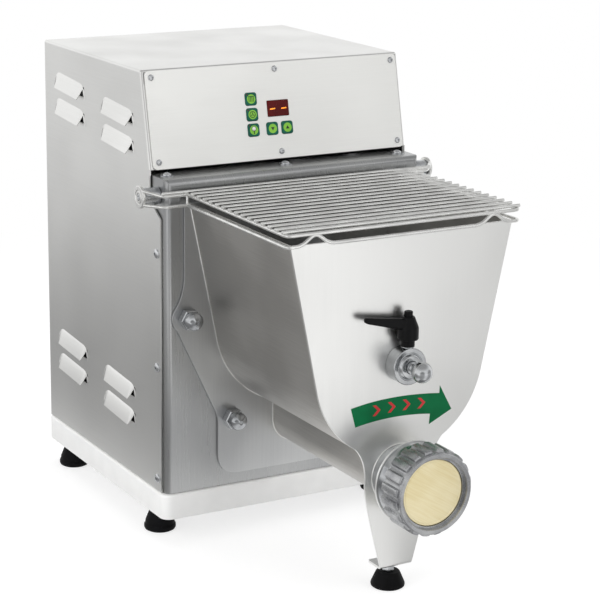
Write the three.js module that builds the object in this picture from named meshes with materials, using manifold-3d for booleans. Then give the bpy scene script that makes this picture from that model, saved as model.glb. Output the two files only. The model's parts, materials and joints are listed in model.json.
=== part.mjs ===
// Counter-top pasta machine: a kneading trough on a drive casing, with an extruder barrel below it.
// Millimetres. X runs to the right seen from the front, Y to the back, Z up from the table.
// Inside the machine group, Y is measured from the front face of the casing's front cover.
import * as THREE from 'three';
import { mergeVertices } from 'three/addons/utils/BufferGeometryUtils.js';
import Module from 'manifold-3d';

const wasm = await Module();
wasm.setup();

// Fits
const GAP = 0.3; // between faces that seat on each other
const RUN = 0.3; // radial play of pins, shafts and screws
const OVERRUN = 4; // how far a cut runs past the face it opens
const WELD_DEPTH = 0.6; // how far fused pieces run into each other
const WELD_TOLERANCE = 1e-4; // corners nearer than this are one

// Casing
const CASING_MARGIN = 2.75; // side sheets outside the front cover
const MOTOR_ROOM = 89.3; // behind the motor
const CASING_FRONT = 9; // front edge of the side sheets
const SHEET = 1.5;
const BEND = 3; // outside radius of the casing's folded edges
const COVER_BEND = 7.5; // outside radius of the front cover's folded edges
const PANEL_FOOT_Y = 36; // where the sloping front face of the casing begins
const PANEL_STEP = 6; // slope's foot above the front cover
const PANEL_RISE = 110; // height of the sloping face
const PANEL_HEAD_Y = 60; // where it meets the top
const PANEL_FLANGE = 16; // folded edges behind the control panel
const NOTCH_DROP = 9; // cut-out of the side sheets below the guard's hinge
const NOTCH_SLANT = 17;

// Base and feet
const FOOT_HEIGHT = 32.5;
const FOOT_RADIUS = 19;
const FOOT_NECK = 13;
const FOOT_TREAD = 5; // height of the foot's widest part
const FOOT_CONE = 24; // height of its cone
const FOOT_INSET = 20; // feet inside the casing's sides
const FOOT_FRONT_Y = 55;
const FOOT_REAR_INSET = 27;
const BASE_HEIGHT = 30;
const BASE_LIP = 3; // how far the base stands out at the sides and rear
const BASE_FRONT = 4;
const BASE_WALL = 4;
const BASE_CORNER = 12;
const BASE_EDGE = 2.5;

// Louvres
const LOUVRE_LENGTH = 94;
const LOUVRE_HEIGHT = 19;
const LOUVRE_BULGE = 6;
const LOUVRE_SKIN = 1.2;
const LOUVRE_TAPER = 5;
const LOUVRE_PITCH = 32;
const LOUVRE_FRONT_Y = 122.5;
const LOUVRE_REAR_INSET = 76.5;
const LOUVRE_HEAD_INSET = 50;
const LOUVRE_FOOT_INSET = 110.2;

// Front cover and mounting plate behind it
const COVER_MARGIN = 6.25; // cover outside the trough's lugs
const COVER_RISE = 20; // cover's top above the guard's hinge
const COVER_DEPTH = 36;
const COVER_UPSTAND = 15;
const STUD_RADIUS = 5;
const MOUNTING_PLATE = 8;
const MOUNTING_INSET = 17.25; // plate inside the cover's sides
const MOUNTING_DROP = 29; // plate's top below the cover's

// Control panel, in its own sloping frame
const PLATE_SIDE_MARGIN = 1.25; // plate inside the cover's sides
const PLATE_MARGIN = 1.3; // plate inside the slope's foot and head
const PLATE_THICKNESS = 2;
const PLATE_CORNER = 8;
const KEY_SIZE = 14.8;
const KEY_CORNER = 3;
const KEY_PROUD = 1.4;
const KEY_STEM = 3.2; // how far a key reaches behind the casing's sloping face
const KEY_TRAVEL = 0.5;
const KEY_PITCH = 18;
const KEY_ROW_UP = 34.4; // lowest key row above the plate's foot
const KEY_COLUMN_X = -34.5;
const ARROW_KEY_X = 9.8; // the two arrow keys either side of the display's centre
const DISPLAY_WIDTH = 28;
const DISPLAY_HEIGHT = 18.6;
const DISPLAY_UP = 57.6;
const DISPLAY_PROUD = 0.8;
const BOARD_WIDTH = 96;
const BOARD_HEIGHT = 74;
const BOARD_THICKNESS = 1.6;
const BOARD_DEPTH = 9; // board face behind the casing's sloping face
const BOARD_PILLAR = 3.5;
const SWITCH_SIZE = 12;

// Kneading trough
const TROUGH_RADIUS = 106;
const TROUGH_SKIN = 2.5;
const TROUGH_WALL = 143; // rim above the mixer's axis
const TROUGH_LEAN = 11.9; // degrees of the side walls from upright
const HOPPER_PLATE = 3;
const HOPPER_REACH = 233.8; // front face of the front plate
const CHANNEL_HALF = 30; // half the outside width of the auger channel

// Rear plate of the trough
const LUG_OFFSET = 36; // lugs outside the bowl
const LUG_UP = 10; // lugs above the mixer's axis
const LUG_RADIUS = 19;
const LUG_STRAIGHT = 3.5; // straight edge above a lug outside its centre
const LUG_NECK = 52; // from a lug up to the straight edge
const LOWER_STUD_X = 85;
const LOWER_STUD_UP = 9; // above the auger's axis
const REAR_WAIST_HALF = 102.5;
const REAR_WAIST_UP = 21;
const REAR_WAIST_DOWN = 31;
const REAR_PLATE_DOWN = 60;
const REAR_FOOT_HALF = 76;

// Front plate and its leg
const LEG_HALF = 42.5;
const LEG_SHOULDER_UP = 11; // above the auger's axis
const LEG_KNEE_DOWN = 24; // below it
const LEG_FOOT_HALF = 20;
const LEG_FOOT_Z = 29;
const LEG_FLANGE = 27.5;
const COLLAR_HEIGHT = 9.2; // drawn collar round the extruder neck
const COLLAR_SKIN = 1.5;
const LEG_PAD_RADIUS = 19.2;
const LEG_PAD_HEIGHT = 18;
const LEG_PAD_TREAD = 3;
const LEG_PAD_TOP = 13;
const LEG_STUD_RADIUS = 4;
const LEG_STUD_BACK = 17; // stud behind the front plate's face
const LEG_NUT_HEIGHT = 6;
const LEG_NUT_RADIUS = 7.5;

// Extruder
const AUGER_CLEAR = 0.5; // flight to barrel
const AUGER_CORE = 13;
const AUGER_PITCH = 38;
const FLIGHT_ROOT = 7; // flight thickness at the core
const FLIGHT_TIP = 3;
const NECK_RADIUS = 34;
const HEAD_RADIUS = 43;
const HEAD_STANDOFF = 43.2; // threaded head in front of the front plate
const HEAD_LENGTH = 15;
const HEAD_CHAMFER = 1;
const DIE_FLANGE = 39;
const DIE_FLANGE_THICKNESS = 5.7;
const DIE_RADIUS = 37;
const DIE_PROUD = 10; // die's face in front of the head
const NUT_SKIRT = 2; // nut behind the head's rear
const NUT_PROUD = 16; // nut in front of the head
const NUT_ROOT = 45.4;
const NUT_LOBE = 3.5; // height of the grip lobes
const NUT_LIP = 4; // nut in front of its lobes
const NUT_LOBES = 20;
const NUT_MOUTH = 40;
const NUT_MOUTH_DEPTH = 5;
const NUT_CHAMFER = 1.2;

// Domed clamp nuts
const CLAMP_FLATS = 22;
const CLAMP_HEX = 11;
const CLAMP_DOME = 10.5;
const CLAMP_LENGTH = 25;

// Mixer
const MIXER_CORE = 12.5;
const MIXER_ARM = 6;
const MIXER_CLEAR = 10; // mixer inside the bowl
const MIXER_ARMS = 6;
const ARM_START = 45; // degrees
const ARM_TURN = 90;
const PADDLE_WIDTH = 28;
const PADDLE_THICKNESS = 5;
const PADDLE_HEIGHT = 16;
const SHAFT_RADIUS = 10;
const SOCKET_DEPTH = 22;
const BUSH_RADIUS = 15;
const BUSH_FLANGE = 19;
const BUSH_FLANGE_THICKNESS = 3;

// Front bearing, its pull pin and clamp lever
const BOSS_RADIUS = 20.5;
const BOSS_DEPTH = 21.2;
const BOSS_STEP = 3;
const BOSS_NOSE = 14;
const PIN_RADIUS = 7;
const PIN_NOSE_GRIP = 14; // how far the pin enters the mixer
const PIN_NECK = 4.5;
const PIN_CHAMFER = 1;
const BALL_STANDOFF = 19.5; // ball in front of the boss
const BALL_RADIUS = 11.5;
const LEVER_INSET = 9.5; // clamp screw behind the boss's face
const LEVER_SCREW = 4;
const LEVER_COLLAR = 7.5;
const LEVER_COLLAR_HEIGHT = 0.8;
const LEVER_HUB = 11.5;
const LEVER_NECK = 7.5;
const LEVER_NECK_HEIGHT = 7;
const LEVER_HUB_HEIGHT = 32.6;
const LEVER_HUB_TOP = 6.5;
const LEVER_LIFT = 4;
const LEVER_ARM = 52;
const LEVER_ARM_ROOT = 7;
const LEVER_ARM_TIP = 3.5;
const LEVER_ARM_UP = 23.4; // arm's root above the hub's foot
const LEVER_RISE = 10.6;
const LEVER_BUTTON = 4.75;
const LEVER_BUTTON_PROUD = 6;

// Wire guard
const WIRE = 2; // wire radius
const GUARD_INSET = 0.5; // grille inside the trough's rear plate
const GUARD_REAR = 9.5; // rear cross wires in front of the cover
const GUARD_OVERHANG = 4.2; // grille in front of the front plate
const GUARD_HEIGHT = 12;
const GUARD_BARS = 16;
const GUARD_BEND = 6;
const HUMP_INSET = 34; // humps inside the grille's sides
const HUMP_HALF = 17;
const HINGE_Y = 20;
const HINGE_DROP = 4; // hinge below the upper frame wire
const HINGE_DISC = 13;
const HINGE_HUB = 10;
const HINGE_HUB_LENGTH = 20;
const HINGE_BOLT = 4;
const ARM_SPLAY = 8; // arm wires above and below the hinge at the disc

// Drive
const DRIVE_DISTANCE = 126; // from the auger's axis up to the mixer's
const DRIVE_TEETH = 24;
const PINION_TEETH = 14;
const PRESSURE_ANGLE = 20;
const BACKLASH = 0.8;
const GEAR_WIDTH = 14;
const CASE_WALL = 6;
const CASE_FRONT_WALL = 10;
const CASE_DEPTH = 40;
const CASE_COVER = 8;
const CASE_CORNER = 24;
const CASE_CLEAR = 2.2;
const CASE_FLOOR = 3.75; // the case's room above the casing's floor
const MOTOR_FLANGE = 50;
const MOTOR_RADIUS = 58;
const MOTOR_REDUCER = 46;
const MOTOR_LENGTH = 190;
const MOTOR_SHAFT = 8;
const TERMINAL_BOX = 46;

// Rear
const GLAND_INSET = 60; // gland inside the casing's side
const GLAND_UP = 33.2; // above the casing's floor
const GLAND_RADIUS = 9;
const GLAND_BORE = 4.5;
const GLAND_HEX = 12;
const GLAND_REACH = 16;
const SENSOR_LENGTH = 36;
const SENSOR_WIDTH = 13;
const SENSOR_HEIGHT = 26;

// Facets
const ROUND = 18;
const FINE = 28;
const SMALL = 16;
const TINY = 10;
const HEX_SIDES = 6;
const WIRE_SIDES = 6;
const ARC_STEPS = 5;
const CORNER_STEPS = 1;
const BALL_STEPS = 6;
const AUGER_STEPS = 12; // per turn of the flight

// Sizes that follow from the ones above
const BASE_TOP = FOOT_HEIGHT + BASE_HEIGHT;
const CASING_FLOOR = BASE_TOP + GAP;

const LUG_X = TROUGH_RADIUS + LUG_OFFSET;
const REAR_PLATE_HALF = LUG_X + LUG_STRAIGHT;
const COVER_HALF = LUG_X + LUG_RADIUS + COVER_MARGIN;
const CASING_HALF = COVER_HALF + CASING_MARGIN;
const MOUNTING_HALF = COVER_HALF - MOUNTING_INSET;
const PLATE_HALF = COVER_HALF - PLATE_SIDE_MARGIN;
const FOOT_SPREAD = CASING_HALF - FOOT_INSET;
const GLAND_X = CASING_HALF - GLAND_INSET;
const GUARD_HALF = REAR_PLATE_HALF - GUARD_INSET;
const HUMP_X = GUARD_HALF - HUMP_INSET;
const MIXER_REACH = TROUGH_RADIUS - MIXER_CLEAR;
const HUB_OUTER = COVER_HALF + GAP + HINGE_HUB_LENGTH;
const ARM_X = HUB_OUTER + GAP + WIRE;

const GEAR_MODULE = DRIVE_DISTANCE / DRIVE_TEETH;
const GEAR_RADIUS = GEAR_MODULE * DRIVE_TEETH / 2;
const PINION_RADIUS = GEAR_MODULE * PINION_TEETH / 2;
const AUGER_Z = CASING_FLOOR + CASE_FLOOR + CASE_CLEAR + GEAR_MODULE + GEAR_RADIUS;
const MIXER_Z = AUGER_Z + DRIVE_DISTANCE;
const MOTOR_Z = MIXER_Z + GEAR_RADIUS + PINION_RADIUS;
const TROUGH_TOP = MIXER_Z + TROUGH_WALL;
const GUARD_LOWER_Z = TROUGH_TOP;
const GUARD_UPPER_Z = GUARD_LOWER_Z + GUARD_HEIGHT;
const HINGE_Z = GUARD_UPPER_Z - HINGE_DROP;
const NOTCH_FLOOR = HINGE_Z - NOTCH_DROP;
const NOTCH_FOOT = NOTCH_FLOOR - NOTCH_SLANT;
const COVER_TOP = HINGE_Z + COVER_RISE;
const MOUNTING_TOP = COVER_TOP - MOUNTING_DROP;
const PANEL_FOOT_Z = COVER_TOP + PANEL_STEP;
const CASING_TOP = PANEL_FOOT_Z + PANEL_RISE;
const LOUVRE_UPPER_Z = CASING_TOP - LOUVRE_HEAD_INSET;
const LOUVRE_LOWER_Z = CASING_FLOOR + LOUVRE_FOOT_INSET;
const GLAND_Z = CASING_FLOOR + GLAND_UP;
const LUG_Z = MIXER_Z + LUG_UP;
const LUG_RISE = LUG_Z + LUG_NECK;
const LOWER_STUD_Z = AUGER_Z + LOWER_STUD_UP;
const REAR_WAIST_TOP = AUGER_Z + REAR_WAIST_UP;
const REAR_WAIST_FOOT = AUGER_Z - REAR_WAIST_DOWN;
const REAR_PLATE_FOOT = AUGER_Z - REAR_PLATE_DOWN;
const LEG_SHOULDER = AUGER_Z + LEG_SHOULDER_UP;
const LEG_KNEE = AUGER_Z - LEG_KNEE_DOWN;
const PANEL_TILT = Math.atan2(PANEL_HEAD_Y - PANEL_FOOT_Y, PANEL_RISE);
const PANEL_LENGTH = Math.hypot(PANEL_HEAD_Y - PANEL_FOOT_Y, PANEL_RISE);
const PLATE_HEIGHT = PANEL_LENGTH - 2 * PLATE_MARGIN;

const COVER_REAR_FACE = SHEET + GAP;
const MOUNTING_REAR = COVER_REAR_FACE + MOUNTING_PLATE;
const CASE_FRONT = MOUNTING_REAR + GAP;
const CASE_REAR = CASE_FRONT + CASE_DEPTH;
const GEAR_Y = CASE_FRONT + CASE_FRONT_WALL + (CASE_DEPTH - CASE_FRONT_WALL - GEAR_WIDTH) / 2;
const MOTOR_FRONT = CASE_REAR + CASE_COVER + 2 * GAP;
const CASING_REAR = MOTOR_FRONT + MOTOR_LENGTH + MOTOR_ROOM;
const FOOT_REAR_Y = CASING_REAR - FOOT_REAR_INSET;
const LOUVRE_REAR_Y = CASING_REAR - LOUVRE_REAR_INSET;
const REAR_REACH = CASING_REAR + GLAND_REACH;
const TROUGH_REAR = 2 * GAP + HOPPER_PLATE;
const BUSH_NOSE = TROUGH_REAR + BUSH_FLANGE_THICKNESS;
const MIXER_REAR = BUSH_NOSE + GAP;
const PLATE_REAR = HOPPER_REACH - HOPPER_PLATE; // rear face of the front plate
const GUARD_FRONT = HOPPER_REACH + GUARD_OVERHANG;
const BOSS_FACE = HOPPER_REACH + BOSS_DEPTH;
const BALL_CENTRE = BOSS_FACE + BALL_STANDOFF;
const LEVER_Y = BOSS_FACE - LEVER_INSET;
const PIN_NOSE = PLATE_REAR - PIN_NOSE_GRIP;
const HEAD_REAR = HOPPER_REACH + HEAD_STANDOFF;
const HEAD_FACE = HEAD_REAR + HEAD_LENGTH;
const DIE_FACE = HEAD_FACE + DIE_PROUD;
const DIE_SHOULDER = HEAD_FACE + GAP + DIE_FLANGE_THICKNESS;
const NUT_REAR = HEAD_REAR - NUT_SKIRT;
const NUT_FACE = HEAD_FACE + NUT_PROUD;
const NUT_LOBE_FACE = NUT_FACE - NUT_LIP;
const NUT_BORE = HEAD_RADIUS + RUN;
const NUT_LIP_BORE = DIE_RADIUS + RUN;
const CHANNEL_BORE = CHANNEL_HALF - TROUGH_SKIN;
const FLIGHT_RADIUS = CHANNEL_BORE - AUGER_CLEAR;

// Basic operations

/** Makes a closed three.js geometry into a solid, welding its seams and turning its faces outwards. */
function solid(geometry) {
  const bare = new THREE.BufferGeometry();
  bare.setAttribute('position', geometry.getAttribute('position'));
  if (geometry.index) bare.setIndex(geometry.index);
  const merged = mergeVertices(bare, WELD_TOLERANCE);
  const corners = merged.index.array;
  const kept = [];
  for (let i = 0; i < corners.length; i += 3) {
    const [a, b, c] = [corners[i], corners[i + 1], corners[i + 2]];
    if (a !== b && b !== c && c !== a) kept.push(a, b, c);
  }
  const build = (order) => new wasm.Manifold(new wasm.Mesh({
    numProp: 3,
    vertProperties: Float32Array.from(merged.getAttribute('position').array),
    triVerts: Uint32Array.from(order),
  }));
  const made = build(kept);
  return made.volume() > 0 ? made : build(kept.reverse());
}

/** Gives a solid back as a geometry for a mesh. */
function geometryOf(body) {
  const mesh = body.getMesh();
  const geometry = new THREE.BufferGeometry();
  geometry.setAttribute('position', new THREE.BufferAttribute(Float32Array.from(mesh.vertProperties), 3));
  geometry.setIndex(Array.from(mesh.triVerts));
  geometry.computeVertexNormals();
  return geometry;
}

const join = (first, ...others) => others.reduce((sum, next) => sum.add(next), first);
const cut = (first, ...others) => others.reduce((rest, next) => rest.subtract(next), first);

const coarse = { curveSegments: 2 * CORNER_STEPS };

/** Extrudes a shape drawn in X and Z from yBack towards the front. */
function slabAlongY(shape, yBack, depth, bevel = {}) {
  const geometry = new THREE.ExtrudeGeometry(shape, { depth, bevelEnabled: false,
    curveSegments: ARC_STEPS, ...bevel });
  geometry.rotateX(Math.PI / 2);
  geometry.translate(0, yBack, 0);
  return solid(geometry);
}

/** Extrudes a shape drawn in Y and Z from xLeft to the right. */
function slabAlongX(shape, xLeft, depth, bevel = {}) {
  const geometry = new THREE.ExtrudeGeometry(shape, { depth, bevelEnabled: false,
    curveSegments: CORNER_STEPS, ...bevel });
  const turn = new THREE.Matrix4().makeBasis(
    new THREE.Vector3(0, 1, 0), new THREE.Vector3(0, 0, 1), new THREE.Vector3(1, 0, 0));
  geometry.applyMatrix4(turn);
  geometry.translate(xLeft, 0, 0);
  return solid(geometry);
}

/** Extrudes a shape drawn in X and Y upwards from zLow. */
function slabUp(shape, zLow, depth, bevel = {}) {
  const geometry = new THREE.ExtrudeGeometry(shape, { depth, bevelEnabled: false,
    curveSegments: CORNER_STEPS, ...bevel });
  geometry.translate(0, 0, zLow);
  return solid(geometry);
}

/** Turns a profile of [radius, place] pairs about the Y axis. */
function turnedAlongY(profile, sides = ROUND) {
  return solid(new THREE.LatheGeometry(profile.map(([r, y]) => new THREE.Vector2(r, y)), sides));
}

/** Turns a profile of [radius, height] pairs about the Z axis. */
function turnedUp(profile, sides = ROUND) {
  const geometry = new THREE.LatheGeometry(profile.map(([r, z]) => new THREE.Vector2(r, z)), sides);
  return solid(geometry.rotateX(Math.PI / 2));
}

/** Turns a profile of [radius, place] pairs about the X axis. */
function turnedAlongX(profile, sides = ROUND) {
  const geometry = new THREE.LatheGeometry(profile.map(([r, x]) => new THREE.Vector2(r, x)), sides);
  return solid(geometry.rotateZ(-Math.PI / 2));
}

/** A round bar or cutter along Y, at the height z and the side place x. */
function rodAlongY(radius, yFront, yBack, x, z, sides = ROUND) {
  const profile = [[0, yFront], [radius, yFront], [radius, yBack], [0, yBack]];
  return turnedAlongY(profile, sides).translate([x, 0, z]);
}

function rodUp(radius, zLow, zHigh, x, y, sides = ROUND) {
  return turnedUp([[0, zLow], [radius, zLow], [radius, zHigh], [0, zHigh]], sides).translate([x, y, 0]);
}

function block(xLow, xHigh, yLow, yHigh, zLow, zHigh) {
  const geometry = new THREE.BoxGeometry(xHigh - xLow, yHigh - yLow, zHigh - zLow);
  geometry.translate((xLow + xHigh) / 2, (yLow + yHigh) / 2, (zLow + zHigh) / 2);
  return solid(geometry);
}

function polygon(points) {
  return new THREE.Shape(points.map(([a, b]) => new THREE.Vector2(a, b)));
}

/** A rectangle with round corners, centred on (x, y). */
function roundedRectangle(width, height, radius, x = 0, y = 0) {
  const shape = new THREE.Shape();
  const [left, right, low, high] = [x - width / 2, x + width / 2, y - height / 2, y + height / 2];
  shape.moveTo(left + radius, low);
  shape.lineTo(right - radius, low);
  shape.absarc(right - radius, low + radius, radius, -Math.PI / 2, 0);
  shape.lineTo(right, high - radius);
  shape.absarc(right - radius, high - radius, radius, 0, Math.PI / 2);
  shape.lineTo(left + radius, high);
  shape.absarc(left + radius, high - radius, radius, Math.PI / 2, Math.PI);
  shape.lineTo(left, low + radius);
  shape.absarc(left + radius, low + radius, radius, Math.PI, Math.PI * 1.5);
  return shape;
}

/** A path of straight runs with round bends, which keeps one step for each of its points. */
class BentWire extends THREE.Curve {
  constructor(corners, radius) {
    super();
    const places = corners.map((corner) => new THREE.Vector3(...corner));
    this.points = [places[0]];
    for (let i = 1; i < places.length - 1; i += 1) {
      const [before, corner, after] = [places[i - 1], places[i], places[i + 1]];
      const back = before.clone().sub(corner).setLength(radius);
      const ahead = after.clone().sub(corner).setLength(radius);
      const bend = new THREE.QuadraticBezierCurve3(corner.clone().add(back), corner,
        corner.clone().add(ahead));
      this.points.push(...bend.getPoints(BentWire.bendSteps));
    }
    this.points.push(places[places.length - 1]);
  }

  get steps() {
    return this.points.length - 1;
  }

  getPoint(t, target = new THREE.Vector3()) {
    const place = Math.min(this.steps, t * this.steps);
    const first = Math.min(this.steps - 1, Math.floor(place));
    return target.lerpVectors(this.points[first], this.points[first + 1], place - first);
  }

  getPointAt(u, target) {
    return this.getPoint(u, target);
  }

  getTangentAt(u, target = new THREE.Vector3()) {
    const nearest = Math.round(u * this.steps);
    const before = this.points[Math.max(0, nearest - 1)];
    const after = this.points[Math.min(this.steps, nearest + 1)];
    return target.subVectors(after, before).normalize();
  }
}
BentWire.bendSteps = 2;

/** A wire of the given radius along bent straight runs. */
function wire(corners, radius = WIRE, bend = GUARD_BEND, sides = WIRE_SIDES) {
  const path = new BentWire(corners, bend);
  const section = new THREE.Shape();
  section.absarc(0, 0, radius, 0, Math.PI * 2);
  const geometry = new THREE.ExtrudeGeometry(
    new THREE.Shape(section.getPoints(sides).slice(0, sides)), { steps: path.steps, extrudePath: path });
  return solid(geometry);
}

// Materials

function finish(color, roughness, metalness) {
  return new THREE.MeshStandardMaterial({ color, roughness, metalness });
}

const satinSteel = () => finish('#c9c9c7', 0.38, 0.9);
const machinedSteel = () => finish('#b4b6b8', 0.3, 0.95);
const castAluminium = () => finish('#9a9a9c', 0.5, 0.8);
const brass = () => finish('#dccb92', 0.35, 0.8);
const whiteEnamel = () => finish('#f0f0ee', 0.4, 0);
const blackRubber = () => finish('#1b1b1d', 0.85, 0);
const blackPlastic = () => finish('#141416', 0.45, 0);

// Assembly

const part = new THREE.Group();
const machine = new THREE.Group();
machine.position.y = (NUT_FACE - REAR_REACH) / 2;
part.add(machine);

const panel = new THREE.Group(); // sloping face: X right, Y up the slope, Z out of the face
panel.position.set(0, PANEL_FOOT_Y, PANEL_FOOT_Z);
panel.rotation.x = Math.PI / 2 - PANEL_TILT;
machine.add(panel);

function add(name, body, material, parent = machine, place = [0, 0, 0]) {
  const mesh = new THREE.Mesh(geometryOf(body), material);
  mesh.name = name;
  mesh.position.set(...place);
  parent.add(mesh);
}

// Base and feet

function baseTray() {
  const depth = CASING_REAR + BASE_LIP + BASE_FRONT;
  const centre = (CASING_REAR + BASE_LIP - BASE_FRONT) / 2;
  const width = 2 * (CASING_HALF + BASE_LIP);
  const outline = roundedRectangle(width, depth, BASE_CORNER, 0, centre);
  const edge = {
    bevelEnabled: true, bevelSize: BASE_EDGE, bevelThickness: BASE_EDGE, bevelOffset: -BASE_EDGE,
      bevelSegments: 1,
  };
  const body = slabUp(outline, FOOT_HEIGHT + BASE_EDGE, BASE_HEIGHT - 2 * BASE_EDGE, edge);
  const inner = roundedRectangle(width - 2 * BASE_WALL, depth - 2 * BASE_WALL, BASE_CORNER - BASE_WALL, 0,
    centre);
  const pocket = slabUp(inner, FOOT_HEIGHT - OVERRUN, BASE_HEIGHT - BASE_WALL + OVERRUN);
  const bosses = footPlaces().map(([x, y]) => rodUp(FOOT_NECK, FOOT_HEIGHT,
    BASE_TOP - BASE_WALL + WELD_DEPTH, x, y, SMALL));
  return join(cut(body, pocket), ...bosses);
}

function footPlaces() {
  return [FOOT_FRONT_Y, FOOT_REAR_Y].flatMap((y) => [-FOOT_SPREAD, FOOT_SPREAD].map((x) => [x, y]));
}

function foot() {
  const top = FOOT_HEIGHT - GAP;
  return turnedUp([
    [0, 0], [FOOT_RADIUS * 0.85, 0], [FOOT_RADIUS, FOOT_TREAD], [FOOT_NECK, FOOT_CONE], [FOOT_NECK, top],
      [0, top]]);
}

add('base_tray', baseTray(), whiteEnamel());
const footNames = ['foot_front_left', 'foot_front_right', 'foot_rear_left', 'foot_rear_right'];
footPlaces().forEach(([x, y], i) => add(footNames[i], foot(), blackRubber(), machine, [x, y, 0]));

// Casing: one sheet folded over both sides and the top, with pressed louvres

const slopeY = (z) => PANEL_FOOT_Y + (z - PANEL_FOOT_Z) * Math.tan(PANEL_TILT);

/** Hood of a louvre: full in the middle, running out flat at its ends, and open at its foot. */
function hood(length, height, bulge, drop, taper) {
  const slab = (run) => {
    const shape = new THREE.Shape();
    shape.moveTo(-bulge, -height / 2 - drop);
    shape.lineTo(bulge, -height / 2 - drop);
    shape.quadraticCurveTo(bulge, height * 0.3, 0, height / 2);
    const geometry = new THREE.ExtrudeGeometry(shape, { depth: run, bevelEnabled: false,
      curveSegments: 2 * CORNER_STEPS });
    geometry.translate(0, 0, -run / 2);
    geometry.rotateX(Math.PI / 2);
    return solid(geometry);
  };
  const end = new THREE.BoxGeometry(bulge, length, drop + height / 4).translate(-bulge / 2, 0,
    (height / 4 - height - drop) / 2);
  return wasm.Manifold.hull([slab(length - 2 * taper), solid(end)]);
}

function louvrePlaces() {
  const rows = [LOUVRE_UPPER_Z, LOUVRE_UPPER_Z - LOUVRE_PITCH, LOUVRE_LOWER_Z,
    LOUVRE_LOWER_Z - LOUVRE_PITCH];
  return rows.flatMap((z) => [LOUVRE_FRONT_Y, LOUVRE_REAR_Y].map((y) => [y, z]));
}

function casingShell() {
  const outline = polygon([
    [CASING_FRONT, CASING_FLOOR], [CASING_REAR, CASING_FLOOR], [CASING_REAR, CASING_TOP],
    [PANEL_HEAD_Y, CASING_TOP], [PANEL_FOOT_Y, PANEL_FOOT_Z], [PANEL_FOOT_Y, NOTCH_FLOOR],
    [CASING_FRONT, NOTCH_FOOT]]);
  const arch = new THREE.Shape();
  arch.moveTo(-CASING_HALF, 0);
  arch.lineTo(CASING_HALF, 0);
  arch.lineTo(CASING_HALF, CASING_TOP - BEND);
  arch.absarc(CASING_HALF - BEND, CASING_TOP - BEND, BEND, 0, Math.PI / 2);
  arch.lineTo(BEND - CASING_HALF, CASING_TOP);
  arch.absarc(BEND - CASING_HALF, CASING_TOP - BEND, BEND, Math.PI / 2, Math.PI);
  const outer = slabAlongX(outline, -CASING_HALF, 2 * CASING_HALF)
    .intersect(slabAlongY(arch, CASING_REAR + OVERRUN, CASING_REAR + 2 * OVERRUN));
  const ceiling = CASING_TOP - SHEET;
  const skin = SHEET / Math.cos(PANEL_TILT);
  const hollow = polygon([
    [-OVERRUN, -OVERRUN], [CASING_REAR + OVERRUN, -OVERRUN], [CASING_REAR + OVERRUN, ceiling],
    [slopeY(ceiling) + skin, ceiling], [PANEL_FOOT_Y + skin, PANEL_FOOT_Z], [-OVERRUN, PANEL_FOOT_Z]]);
  const room = slabAlongX(hollow, SHEET - CASING_HALF, 2 * (CASING_HALF - SHEET));
  const windowHalf = CASING_HALF - PANEL_FLANGE;
  const windowTop = CASING_TOP - PANEL_FLANGE;
  const windowFoot = PANEL_FOOT_Z - OVERRUN;
  const window = slabAlongX(polygon([
    [0, windowFoot], [slopeY(windowFoot) + PANEL_FLANGE, windowFoot],
      [slopeY(windowTop) + PANEL_FLANGE, windowTop],
    [0, windowTop]]), -windowHalf, 2 * windowHalf);
  const hoods = [];
  const throats = [];
  for (const [y, z] of louvrePlaces()) {
    for (const side of [-1, 1]) {
      const skinBulge = LOUVRE_BULGE - LOUVRE_SKIN;
      const inner = hood(LOUVRE_LENGTH - 2 * LOUVRE_SKIN, LOUVRE_HEIGHT - 2 * LOUVRE_SKIN, skinBulge,
        2 * LOUVRE_SKIN, LOUVRE_TAPER);
      const outerHood = hood(LOUVRE_LENGTH, LOUVRE_HEIGHT, LOUVRE_BULGE, 0, LOUVRE_TAPER);
      const place = (body) => (side > 0 ? body : body.mirror([1, 0, 0])).translate([side * CASING_HALF, y,
        z]);
      hoods.push(place(outerHood));
      throats.push(place(inner));
    }
  }
  const inside = block(SHEET - CASING_HALF, CASING_HALF - SHEET, 0, CASING_REAR, CASING_FLOOR,
    ceiling - SHEET);
  const hoodBodies = hoods.map((body) => body.subtract(inside));
  return cut(join(cut(outer, room, window), ...hoodBodies), ...throats);
}

/** The casing's rear panel, with the hole of the cable gland. */
function rearPanel() {
  const half = CASING_HALF - SHEET - GAP;
  const plate = block(-half, half, CASING_REAR - SHEET, CASING_REAR, CASING_FLOOR,
    CASING_TOP - SHEET - GAP);
  const rim = PANEL_FLANGE;
  const folds = [-1, 1].map((side) => block(
    ...[side * half, side * (half - SHEET)].sort((a, b) => a - b),
    CASING_REAR - rim, CASING_REAR, CASING_FLOOR, CASING_TOP - SHEET - GAP));
  const hole = rodAlongY(GLAND_RADIUS + RUN, CASING_REAR - SHEET - OVERRUN, CASING_REAR + OVERRUN,
    GLAND_X, GLAND_Z, TINY);
  return cut(join(plate, ...folds), hole);
}

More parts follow.
